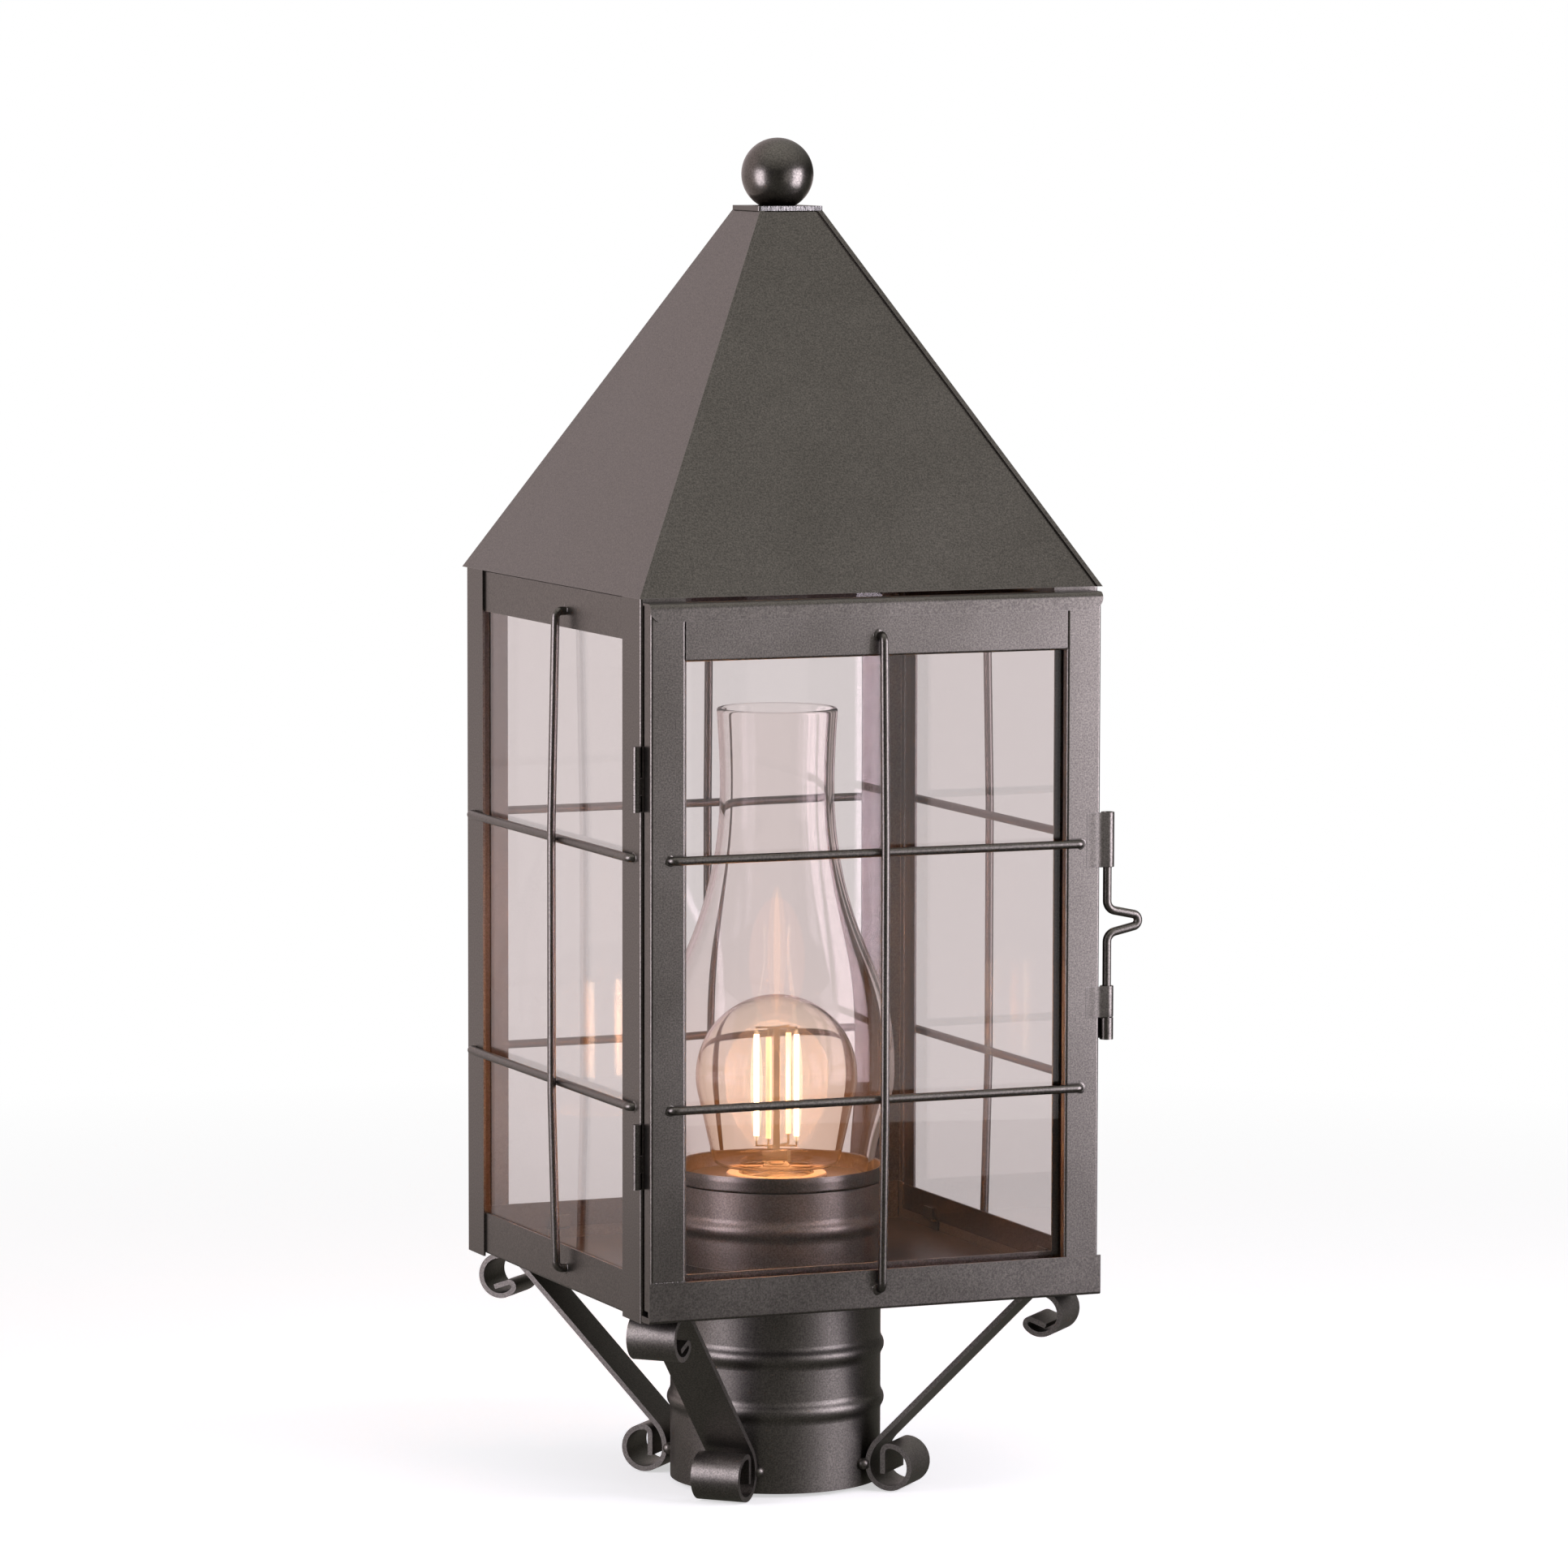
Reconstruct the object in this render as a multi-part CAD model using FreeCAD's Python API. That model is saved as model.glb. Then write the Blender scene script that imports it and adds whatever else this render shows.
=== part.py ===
import FreeCAD, Part
import math
import os
from FreeCAD import Vector

# Square glazed lantern that slips over the top of a round post.
# Frame: +Z up, origin on the post axis at the lower rim of the round fitter, door facing -Y.
# Every length is in millimetres and every angle in degrees.

# Stock
sheet = 0.8
wire_d = 3.15
pane_t = 2.0
strap_t = 1.9
strap_w = 19.0
fold_r = 1.0
hole_clearance = 0.05

# Fitter tube for a three inch post
post_d = 76.2
fitter_clearance = 0.45
fitter_wall = 1.0
fitter_length = 112.5
bead_out = 1.3
bead_half = 4.5
low_bead_z = 30.0
bead_pitch = 20.4
top_bead_drop = 14.5

# Body
body_w = 180.0
body_base_z = 78.5
body_h = 260.5
post_leg = 17.5
post_drop = 1.0
rail_h = 15.7
base_flange = 15.0
top_flange = 6.0
floor_collar_h = 3.3
header_h = 14.5
vent_h = 4.5
mitre_gap = 0.3
fold_clearance = 0.3

# Roof
eave_overhang = 1.0
roof_pitch = 60.0
roof_lap = 1.9
roof_hem = 8.0
cap_w = 26.0
cap_t = 1.7
cap_overhang = 0.5
cap_corner_r = 1.2

# Finial
ball_r = 13.4
ball_foot_r = 6.6
stud_r = 2.0
stud_grip = 9.0
nut_af = 7.0
nut_h = 3.2
stud_tail = 1.6

# Scroll brackets
foot_drop = 1.0
crest_inset = 17.7
strap_standoff = 0.8
low_ring_r = 8.0
heel_r = 8.6
throat_r = 13.0
shoulder_r = 14.0
top_ring_r = 7.7
top_curl_r = 7.0
top_curl_turn = 50.0
low_hook_r = 2.6
low_hook_run = 8.0
top_hook_r = 1.8
top_hook_turn = 150.0
top_hook_run = 6.0
weld_r = 2.2

# Panes and their clips
pane_inset = 10.0
pane_base_rise = 6.2
pane_top_drop = 5.8
clip_w = 8.0
clip_x = 52.7
clip_foot = 4.0
clip_tongue = 4.2
clip_bend = 0.7

# Wire guards
rung_low_z = 155.5
rung_high_z = 245.5
side_rung_inset = 5.2
door_rung_inset = 7.9
rung_bend = 2.0
bar_bend = 2.4
bar_bow_r = 60.0
bar_end_out = 3.2
bar_base_rise = 6.0
bar_top_drop = 8.0
door_bar_top_drop = 12.0
wire_gap = 0.05
left_rung_shift = 0.6
left_bar_shift = 13.2
back_bar_shift = -10.0
right_bar_shift = 14.5

# Door
door_gap = 1.4
door_depth = 6.9
door_left_inset = 0.8
door_right_inset = 2.4
door_top_drop = 1.4
stile_w = 13.6
stile_return = 3.3
stile_back = 6.0
door_rail_h = 14.6
door_top_rail_h = 20.2
pan_side_h = 2.2
notch_h = 1.9
notch_w = 3.6
lip_h = 6.5
lip_bend = 2.4
lip_corner_r = 4.5
lip_overhang = 0.3
door_pane_lap = 6.8
door_pane_top_drop = 2.0
door_clip_h = 8.0
door_clip_w = 8.0
door_clip_inset = 40.0

# Hinges
knuckle_r = 1.6
pin_r = 0.75
pin_play = 0.05
leaf_t = 0.55
leaf_reach = 11.0
knuckle_gap = 0.2
low_knuckle_h = 6.0
mid_knuckle_h = 5.9
high_knuckle_h = 11.3
low_hinge_z = 126.4
high_hinge_z = 262.6

# Latch
rod_r = 1.6
rod_play = 0.1
latch_out = 3.7
barrel_leaf = 5.5
barrel_curl_angle = 305.0
high_barrel_z = 236.4
high_barrel_h = 20.2
low_barrel_z = 181.0
low_barrel_h = 11.5
catch_h = 8.0
catch_floor = 1.0
catch_leaf = 12.0
seat_gap = 0.3
grip_out = 12.5
grip_z = 216.2
grip_bend = 3.8
grip_nose = 2.3
grip_slope = 12.0
rod_lift = 9.5
rod_head_gap = 1.1

# Gallery and chimney
gallery_out = 0.5
gallery_h = 6.0
gallery_lean = 20.0
gallery_lean_r = 6.0
spigot_h = 4.0
spigot_clearance = 0.1
chimney_h = 176.7
chimney_wall = 2.0
chimney_foot_r = 36.0
chimney_flare_r = 38.2
chimney_flare_h = 14.5
chimney_bulge_r = 43.6
chimney_bulge_h = 33.1
chimney_belly_r = 44.1
chimney_belly_h = 45.7
chimney_shoulder_r = 41.1
chimney_shoulder_h = 67.3
chimney_waist_r = 32.5
chimney_waist_h = 89.1
chimney_throat_r = 24.4
chimney_throat_h = 116.0
chimney_neck_r = 21.7
chimney_neck_h = 136.7
chimney_rim_r = 22.6
chimney_samples = 24

# Lampholder
holder_r = 16.7
holder_clearance = 0.3
holder_flange_r = 19.0
holder_flange_t = 2.0
holder_depth = 33.3
holder_floor = 4.0
holder_round = 0.8
holder_ring_r = 21.0
holder_ring_h = 4.0
shell_wall = 0.7
shell_h = 26.0
contact_t = 0.6
contact_w = 6.0
contact_rise = 4.0
contact_half = 5.0
contact_run = 8.0
contact_bend = 1.2
contact_slope = 12.0

# Bulb
bulb_r = 30.3
bulb_h = 94.0
bulb_wall = 0.8
bulb_lean = 13.0
bulb_tuck_angle = 80.0
bulb_tuck_r = 3.0
bulb_neck_bend = 1.5
bulb_neck_r = 13.0
bulb_neck_run = 2.6
cap_r = 13.2
cap_play = 0.3
cap_h = 25.0
cap_tip_r = 4.5
cap_tip_h = 1.0
cap_taper_h = 3.0
cap_chamfer = 1.0
flare_foot_t = 0.8
flare_low_r = 7.0
flare_low_h = 2.5
flare_high_r = 4.2
flare_h = 6.0
press_w = 10.0
press_t = 3.6
press_h = 4.4
stem_r = 1.3
lead_w = 0.6
low_lead = 4.0
high_lead = 3.0
filament_r = 1.0
filament_ring = 7.5
filament_base = 41.0
filament_run = 38.0
filament_angles = (31, 157, 224, 337)

# Levels and faces worked out from the sizes above
bore_r = post_d / 2 + fitter_clearance
tube_r = bore_r + fitter_wall
body_half = body_w / 2
roof_half = body_half + eave_overhang
pane_half = body_half - pane_inset
side_rung_half = body_half - side_rung_inset
door_rung_half = body_half - door_rung_inset
rail_out = body_half - sheet
rail_in = rail_out - sheet
body_top_z = body_base_z + body_h
floor_z = body_base_z + sheet
floor_top_z = floor_z + sheet
cap_seat_half = cap_w / 2 - cap_overhang
roof_top_z = body_top_z + (roof_half - cap_seat_half) * math.tan(math.radians(roof_pitch))
cap_top_z = roof_top_z + cap_t
wire_r = wire_d / 2
pane_base_z = body_base_z + pane_base_rise
pane_top_z = body_top_z - pane_top_drop
door_back = body_half + door_gap
door_face = door_back + door_depth
door_left = -body_half + door_left_inset
door_right = body_half - door_right_inset
door_top_z = body_top_z - door_top_drop
door_rail_top_z = body_base_z + door_rail_h
stile_top_z = door_top_z - sheet
lip_inside_r = lip_bend - sheet
pin_x = -body_half - knuckle_r
pin_y = -body_half - door_gap / 2
rod_x = door_right + latch_out
barrel_r = rod_r + rod_play + sheet
rod_y = -door_face - sheet + barrel_r
catch_top_z = low_barrel_z - seat_gap
catch_z = catch_top_z - catch_h
rod_base_z = catch_z + catch_floor + seat_gap
rod_top_z = high_barrel_z + high_barrel_h - rod_lift - rod_head_gap
gallery_r = tube_r + gallery_out
seat_z = fitter_length + sheet
holder_top_z = seat_z + holder_flange_t
holder_base_z = seat_z - holder_depth
holder_floor_z = holder_base_z + holder_floor
shell_in_r = cap_r + cap_play
shell_out_r = shell_in_r + shell_wall
bulb_z = holder_floor_z + contact_rise
cap_rim_z = bulb_z + cap_h
crown_z = bulb_z + bulb_h

PLAN = (Vector(0, 0, 0), Vector(1, 0, 0), Vector(0, 1, 0))
ACROSS = (Vector(0, 0, 0), Vector(0, 1, 0), Vector(0, 0, 1))
ELEVATION = (Vector(0, 0, 0), Vector(1, 0, 0), Vector(0, 0, 1))
AXIS = Vector(0, 0, 1)
ORIGIN = Vector(0, 0, 0)

# Quarter turns from the front left corner, and from the front side with the shifts of rungs and bar
CORNERS = (("front_left", 0), ("front_right", 1), ("back_right", 2), ("back_left", 3))
SIDES = (("left", 3, left_rung_shift, left_bar_shift), ("back", 2, 0, back_bar_shift),
         ("right", 1, 0, right_bar_shift))


def block(x0, x1, y0, y1, z0, z1):
    """Box between two opposite corners."""
    return Part.makeBox(x1 - x0, y1 - y0, z1 - z0, Vector(x0, y0, z0))


def round_bar(radius, x, y, z0, z1):
    """Upright cylinder."""
    return Part.makeCylinder(radius, z1 - z0, Vector(x, y, z0), AXIS)


def left_of(angle):
    """Unit vector to the left of a heading."""
    return Vector(-math.sin(angle), math.cos(angle), 0)


def run(length):
    """Straight stretch of a folded or bent path."""
    return ("run", length, 0)


def bend(turn, radius):
    """Bend of a path: the turn is positive to the left."""
    return ("bend", turn, radius)


def straight_leg(point, angle, length):
    """Begin and end of a straight stretch, each with its heading."""
    end = point + Vector(math.cos(angle), math.sin(angle), 0) * length
    return [(point, angle), (end, angle)]


def curved_leg(point, angle, turn, radius):
    """Begin, middle and end of a bend, each with its heading."""
    side = math.copysign(radius, turn)
    centre = point + left_of(angle) * side
    leg = [(point, angle)]
    for share in (0.5, 1.0):
        heading = angle + turn * share
        leg.append((centre - left_of(heading) * side, heading))
    return leg


def walk(start, heading, moves):
    """Legs of a flat path that begins at start and follows the runs and bends."""
    legs = []
    point = Vector(start[0], start[1], 0)
    angle = math.radians(heading)
    for kind, size, radius in moves:
        if kind == "run":
            leg = straight_leg(point, angle, size)
        else:
            leg = curved_leg(point, angle, math.radians(size), radius)
        legs.append(leg)
        point, angle = leg[-1]
    return legs


def on_plane(plane, point):
    """Point of a flat drawing, placed on a plane in space."""
    origin, across, up = plane
    return origin + across * point.x + up * point.y


def leg_edge(plane, leg, offset):
    """Edge along one leg, moved to the left by offset."""
    spots = [on_plane(plane, point + left_of(angle) * offset) for point, angle in leg]
    if len(spots) == 2:
        return Part.LineSegment(spots[0], spots[1]).toShape()
    return Part.Arc(spots[0], spots[1], spots[2]).toShape()


def ribbon(plane, start, heading, moves, near, far):
    """Section of a folded sheet: the band between two offsets of one path."""
    legs = walk(start, heading, moves)
    near_side = [leg_edge(plane, leg, near) for leg in legs]
    far_side = [leg_edge(plane, leg, far) for leg in legs]
    ends = []
    for point, angle in (legs[0][0], legs[-1][-1]):
        low = on_plane(plane, point + left_of(angle) * near)
        high = on_plane(plane, point + left_of(angle) * far)
        ends.append(Part.LineSegment(low, high).toShape())
    edges = Part.sortEdges(near_side + far_side + ends)[0]
    return Part.Face(Part.Wire(edges))


def bent_wire(plane, start, heading, moves, radius):
    """Round wire bent along a path."""
    legs = walk(start, heading, moves)
    path = Part.Wire([leg_edge(plane, leg, 0) for leg in legs])
    point, angle = legs[0][0]
    ahead = on_plane(plane, point + left_of(angle - math.pi / 2)) - on_plane(plane, point)
    ring = Part.Wire([Part.makeCircle(radius, on_plane(plane, point), ahead)])
    return path.makePipeShell([ring], True, False)


def turned(face):
    """Solid of revolution about the post axis."""
    return face.revolve(ORIGIN, AXIS, 360)


def outline(plane, points):
    """Face inside a closed polygon."""
    spots = [on_plane(plane, Vector(a, b, 0)) for a, b in points]
    return Part.Face(Part.makePolygon(spots + [spots[0]]))


def quarter_turns(shape, count):
    """The same shape on another side of the square body."""
    return shape.rotated(ORIGIN, AXIS, 90 * count)


def mitred(shape):
    """Front rail cut to 45 degrees at both ends."""
    reach = body_w
    wedge = outline(PLAN, [(0, -mitre_gap), (-reach, -reach - mitre_gap), (reach, -reach - mitre_gap)])
    return shape.common(wedge.extrude(AXIS * (cap_top_z + reach)))


def fitter_tube():
    """Rolled tube with swaged beads that takes the post from below."""
    turn = math.degrees(2 * math.atan(bead_out / bead_half))
    radius = bead_half / 2 / math.sin(math.radians(turn))
    moves = []
    level = 0
    for bead_z in (low_bead_z, low_bead_z + bead_pitch, fitter_length - top_bead_drop):
        moves.append(run(bead_z - bead_half - level))
        moves += [bend(-turn, radius), bend(2 * turn, radius), bend(-turn, radius)]
        level = bead_z + bead_half
    moves.append(run(fitter_length - level))
    return turned(ribbon(ELEVATION, (tube_r, 0), 90, moves, 0, fitter_wall))


def scroll_bracket():
    """Flat strap with a curl at each end, in the plane of the front left diagonal."""
    half = strap_t / 2
    hook = [run(low_hook_run), bend(-90, low_hook_r), bend(-180, low_ring_r)]
    curl = hook + [bend(-90, heel_r)]
    lowest = walk((0, 0), 90, hook)[-1][-1][0].y
    heel = walk((0, 0), 90, curl)[-1][-1][0]
    start = (tube_r + strap_standoff + half - heel.x, half - foot_drop - lowest)
    across = body_half * math.sqrt(2) - crest_inset - start[0] - heel.x - throat_r
    rise = body_base_z - half - start[1] - heel.y - shoulder_r
    step = shoulder_r - throat_r
    strap_run = math.sqrt(across ** 2 + rise ** 2 - step ** 2)
    slope = math.degrees(math.atan2(rise, across) + math.atan2(step, strap_run))
    climb = curl + [bend(slope - 90, throat_r), run(strap_run), bend(-slope, shoulder_r)]
    crest = [bend(-180, top_ring_r), bend(-top_curl_turn, top_curl_r), bend(-top_hook_turn, top_hook_r)]
    moves = climb + crest + [run(top_hook_run)]
    plane = (Vector(0, -strap_w / 2, 0), Vector(1, 0, 0), Vector(0, 0, 1))
    strap = ribbon(plane, start, 90, moves, -half, half).extrude(Vector(0, strap_w, 0))
    weld_z = heel_r + half - foot_drop
    welds = [Part.makeSphere(weld_r, Vector(tube_r, side, weld_z)) for side in (-strap_w / 2, strap_w / 2)]
    bracket = strap.fuse(welds).cut(round_bar(tube_r, 0, 0, weld_z - 2 * weld_r, weld_z + 2 * weld_r))
    return bracket.removeSplitter().rotated(ORIGIN, AXIS, 225)


def corner_post(wire_holes):
    """Front left corner post: an angle folded from sheet, drilled for the guard rungs."""
    moves = [run(post_leg - fold_r), bend(90, fold_r), run(post_leg - fold_r)]
    section = ribbon(PLAN, (-body_half, post_leg - body_half), 270, moves, 0, sheet)
    post = section.extrude(AXIS * (body_h + post_drop))
    post.translate(Vector(0, 0, body_base_z - post_drop))
    return post.cut(wire_holes)


def base_rail():
    """Front bottom rail: an upright web with a wide flange that carries the floor."""
    moves = [run(rail_h - fold_r), bend(90, fold_r), run(base_flange - fold_r)]
    section = ribbon(ACROSS, (-rail_out, body_base_z + rail_h), 270, moves, 0, sheet)
    section.translate(Vector(-body_half, 0, 0))
    return mitred(section.extrude(Vector(body_w, 0, 0)))


def top_rail():
    """Front top rail: an upright web with a narrow flange under the eave."""
    moves = [run(top_flange - fold_r), bend(90, fold_r), run(rail_h - fold_r)]
    section = ribbon(ACROSS, (top_flange - rail_out, body_top_z), 180, moves, 0, sheet)
    section.translate(Vector(-body_half, 0, 0))
    return mitred(section.extrude(Vector(body_w, 0, 0)))


def header():
    """Rail over the door opening, set down from the eave to leave a vent slot."""
    top = body_top_z - vent_h
    moves = [run(header_h - fold_r), bend(90, fold_r), run(top_flange - fold_r)]
    section = ribbon(ACROSS, (-rail_out, top), 270, moves, 0, sheet)
    section.translate(Vector(-body_half, 0, 0))
    return mitred(section.extrude(Vector(body_w, 0, 0)))


def floor_plate():
    """Square floor with a drawn collar round the fitter tube."""
    half = rail_in - fold_clearance
    plate = block(-half, half, -half, half, floor_z, floor_top_z)
    plate = plate.fuse(round_bar(tube_r + sheet, 0, 0, floor_z, floor_top_z + floor_collar_h))
    return plate.cut(round_bar(tube_r, 0, 0, 0, fitter_length)).removeSplitter()


def roof_ring(points, level):
    """Closed outline of a roof panel at one level."""
    spots = [Vector(x, y, level) for x, y in points]
    return Part.makePolygon(spots + [spots[0]])


def roof_half_at(level):
    """Half width of the outside of the roof at one level."""
    return roof_half - (level - body_top_z) / math.tan(math.radians(roof_pitch))


def lapped_outline(half):
    """Left roof panel cut level: a channel whose two lips lap over the neighbours."""
    thick = sheet / math.sin(math.radians(roof_pitch))
    lip = half + thick
    return [(-half, -lip), (roof_lap - half, -lip), (roof_lap - half, -half), (thick - half, -half),
            (thick - half, half), (roof_lap - half, half), (roof_lap - half, lip), (-half, lip)]


def plain_outline(half):
    """Front roof panel cut level, between the two side panels."""
    thick = sheet / math.sin(math.radians(roof_pitch))
    edge = half - thick
    return [(-edge, -half), (edge, -half), (edge, thick - half), (-edge, thick - half)]


def roof_panel(level_outline):
    """Sloping roof sheet between the eave and the cap."""
    low = roof_ring(level_outline(roof_half_at(body_top_z)), body_top_z)
    high = roof_ring(level_outline(roof_half_at(roof_top_z)), roof_top_z)
    return Part.makeLoft([low, high], True, True)


def roof_hem_strip():
    """Level hem of the front panel that rests on the posts and rails."""
    thick = sheet / math.sin(math.radians(roof_pitch))
    edge = roof_half - thick
    return mitred(block(-edge, edge, -edge, roof_hem - roof_half, body_top_z, body_top_z + sheet))


def lapped_roof_panel():
    """Left roof panel with its hem."""
    return roof_panel(lapped_outline).fuse(quarter_turns(roof_hem_strip(), 3)).removeSplitter()


def plain_roof_panel(side_panels):
    """Front roof panel with its hem, trimmed to the side panels."""
    panel = roof_panel(plain_outline).fuse(roof_hem_strip())
    return panel.cut(side_panels).removeSplitter()


def cap_plate():
    """Square plate that closes the top of the roof."""
    half = cap_w / 2
    plate = block(-half, half, -half, half, roof_top_z, cap_top_z)
    uprights = [edge for edge in plate.Edges if abs(edge.tangentAt(0).z) > 0.9]
    plate = plate.makeFillet(cap_corner_r, uprights)
    return plate.cut(round_bar(stud_r, 0, 0, roof_top_z, cap_top_z))


def ball_centre_z():
    """Height of the centre of the finial ball above its flat foot."""
    return cap_top_z + math.sqrt(ball_r ** 2 - ball_foot_r ** 2)


def finial_ball():
    """Turned ball with a flat foot and a blind hole for the stud."""
    ball = Part.makeSphere(ball_r, Vector(0, 0, ball_centre_z()))
    ball = ball.cut(block(-ball_r, ball_r, -ball_r, ball_r, roof_top_z - ball_r, cap_top_z))
    return ball.cut(round_bar(stud_r, 0, 0, cap_top_z, cap_top_z + stud_grip))


def finial_stud():
    """Stud that ties the ball to the cap plate."""
    return round_bar(stud_r, 0, 0, roof_top_z - nut_h - stud_tail, cap_top_z + stud_grip)


def finial_nut():
    """Hexagon nut under the cap plate."""
    corner = nut_af / math.sqrt(3)
    angles = [math.radians(60 * step) for step in range(6)]
    face = outline(PLAN, [(corner * math.cos(a), corner * math.sin(a)) for a in angles])
    nut = face.extrude(AXIS * nut_h)
    nut.translate(Vector(0, 0, roof_top_z - nut_h))
    return nut.cut(finial_stud())


def pane():
    """Glass of one closed side, seen as the front side."""
    return block(-pane_half, pane_half, -rail_in, pane_t - rail_in, pane_base_z, pane_top_z)


def pane_clip():
    """Bent tongue soldered to a rail, stepping over the lower edge of the glass."""
    moves = [run(clip_foot - clip_bend), bend(-90, clip_bend), run(pane_t - 2 * clip_bend + sheet / 2)]
    moves += [bend(90, clip_bend), run(clip_tongue)]
    half = sheet / 2
    step_z = pane_base_z - half
    start = (half - rail_in, step_z - clip_foot)
    section = ribbon(ACROSS, start, 90, moves, -half, half)
    section.translate(Vector(-clip_w / 2, 0, 0))
    return section.extrude(Vector(clip_w, 0, 0))


def side_clips():
    """Four clips of one pane: two under the glass and two over it."""
    middle = Vector(0, 0, (pane_base_z + pane_top_z) / 2)
    clips = []
    for x in (-clip_x, clip_x):
        low = pane_clip().translated(Vector(x, 0, 0))
        clips += [low, low.mirror(middle, AXIS)]
    return clips


def guard_rung(face, level, left, right):
    """Level wire whose two ends turn into the frame."""
    stub = wire_r + wire_gap + sheet
    moves = [run(stub - rung_bend), bend(-90, rung_bend)]
    moves += [run(right - left - wire_d - 2 * rung_bend), bend(-90, rung_bend), run(stub - rung_bend)]
    plane = (Vector(0, 0, level), Vector(1, 0, 0), Vector(0, -1, 0))
    return bent_wire(plane, (left + wire_r, face - sheet), 90, moves, wire_r)


def bowed_leg(bow, rise):
    """Hook, leaning stretch and wide bend that bring a bar out by bow on its way up to the rungs."""
    across = bow - bar_bow_r + bar_bend
    swing = bar_bow_r - bar_bend
    reach = math.sqrt(across ** 2 + rise ** 2 - swing ** 2)
    lean = 90 - math.degrees(math.atan2(rise, across) - math.atan2(swing, reach))
    return [bend(90 - lean, bar_bend), run(reach), bend(lean, bar_bow_r)]


def guard_bar(face, x, low, high, root):
    """Upright wire with its ends in the two rails, bowed out so that it passes outside the rungs."""
    stand = wire_r + wire_gap + wire_d + wire_gap
    stub = face + bar_end_out - root - bar_bend
    low_rise = rung_low_z - wire_d - low - wire_r - bar_bend
    high_rise = high - wire_r - bar_bend - rung_high_z - wire_d
    moves = [run(stub)] + bowed_leg(stand - bar_end_out, low_rise)
    moves.append(run(rung_high_z - rung_low_z + 2 * wire_d))
    moves += bowed_leg(stand - bar_end_out, high_rise)[::-1] + [run(stub)]
    plane = (Vector(x, 0, 0), Vector(0, -1, 0), Vector(0, 0, 1))
    return bent_wire(plane, (root, low + wire_r), 0, moves, wire_r)


def bar_low_z():
    """Lowest point of every guard bar."""
    return body_base_z + bar_base_rise


def bar_high_z():
    """Highest point of the guard bars on the closed sides."""
    return body_top_z - bar_top_drop


def side_guard(rung_shift, bar_shift):
    """Guard of one closed side, seen as the front side: two rungs and a bar."""
    left = rung_shift - side_rung_half
    right = rung_shift + side_rung_half
    wires = [guard_rung(body_half, level, left, right) for level in (rung_low_z, rung_high_z)]
    wires.append(guard_bar(body_half, bar_shift, bar_low_z(), bar_high_z(), rail_in))
    return wires


def rung_holes(face, middle, half):
    """Drills for the rung ends of one side, seen as the front side."""
    drills = []
    for x in (middle - half + wire_r, middle + half - wire_r):
        for level in (rung_low_z, rung_high_z):
            spot = Vector(x, -face - sheet, level)
            drills.append(Part.makeCylinder(wire_r + hole_clearance, 3 * sheet, spot, Vector(0, 1, 0)))
    return Part.makeCompound(drills)


def bar_holes(x, face, levels):
    """Drills for the two ends of a guard bar."""
    drills = []
    for level in levels:
        spot = Vector(x, -face - sheet, level)
        drills.append(Part.makeCylinder(wire_r + hole_clearance, 3 * sheet, spot, Vector(0, 1, 0)))
    return Part.makeCompound(drills)


def lip_corner():
    """What the rounded fold of the drip lip takes off the front upper corner of the stiles."""
    low = stile_top_z - lip_inside_r
    back = lip_inside_r - door_face
    corner = block(-body_w, body_w, -door_face - sheet, back, low, stile_top_z + sheet)
    bar = Part.makeCylinder(lip_inside_r, 2 * body_w, Vector(-body_w, back, low), Vector(1, 0, 0))
    return corner.cut(bar)


def stile(mirror_x):
    """Upright of the door: a folded channel, open at the back towards the glass."""
    moves = [run(stile_back - fold_r), bend(90, fold_r), run(door_depth - 2 * fold_r), bend(90, fold_r)]
    moves += [run(stile_w - 2 * fold_r), bend(90, fold_r), run(stile_return - fold_r)]
    section = ribbon(PLAN, (door_left + stile_back, -door_back), 180, moves, 0, sheet)
    base_z = floor_z + fold_clearance
    upright = section.extrude(AXIS * (stile_top_z - base_z))
    upright.translate(Vector(0, 0, base_z))
    upright = upright.cut(lip_corner())
    notch_z = body_base_z + pan_side_h
    notch_y = -door_back - sheet
    upright = upright.cut(block(door_left - sheet, door_left + 2 * sheet, notch_y - notch_w, notch_y,
                                notch_z, notch_z + notch_h))
    if mirror_x:
        middle = Vector((door_left + door_right) / 2, 0, 0)
        return upright.mirror(middle, Vector(1, 0, 0))
    return upright


def door_rails_span():
    """Stretch between the two stiles."""
    return door_left + stile_w, door_right - stile_w


def door_top_rail(holes):
    """Top rail of the door, with a return behind its lower edge and one under the lip."""
    left, right = door_rails_span()
    low = stile_top_z - door_top_rail_h
    moves = [run(door_depth - lip_inside_r), bend(90, lip_inside_r)]
    moves.append(run(door_top_rail_h - lip_inside_r - fold_r))
    moves += [bend(90, fold_r), run(stile_return - fold_r)]
    section = ribbon(ACROSS, (-door_back, stile_top_z), 180, moves, 0, sheet)
    section.translate(Vector(left, 0, 0))
    return section.extrude(Vector(right - left, 0, 0)).cut(holes)


def door_bottom_rail(holes):
    """Pan across the foot of the door, outside both stiles."""
    face = door_face + sheet
    moves = [run(door_rail_h - fold_r), bend(90, fold_r), run(door_depth + sheet - fold_r)]
    section = ribbon(ACROSS, (-face, door_rail_top_z), 270, moves, 0, sheet)
    section.translate(Vector(door_left - sheet, 0, 0))
    pan = section.extrude(Vector(door_right - door_left + 2 * sheet, 0, 0))
    for x in (door_left - sheet, door_right):
        pan = pan.fuse(block(x, x + sheet, -door_face, -door_back, floor_z, body_base_z + pan_side_h))
    return pan.removeSplitter().cut(holes)


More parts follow.
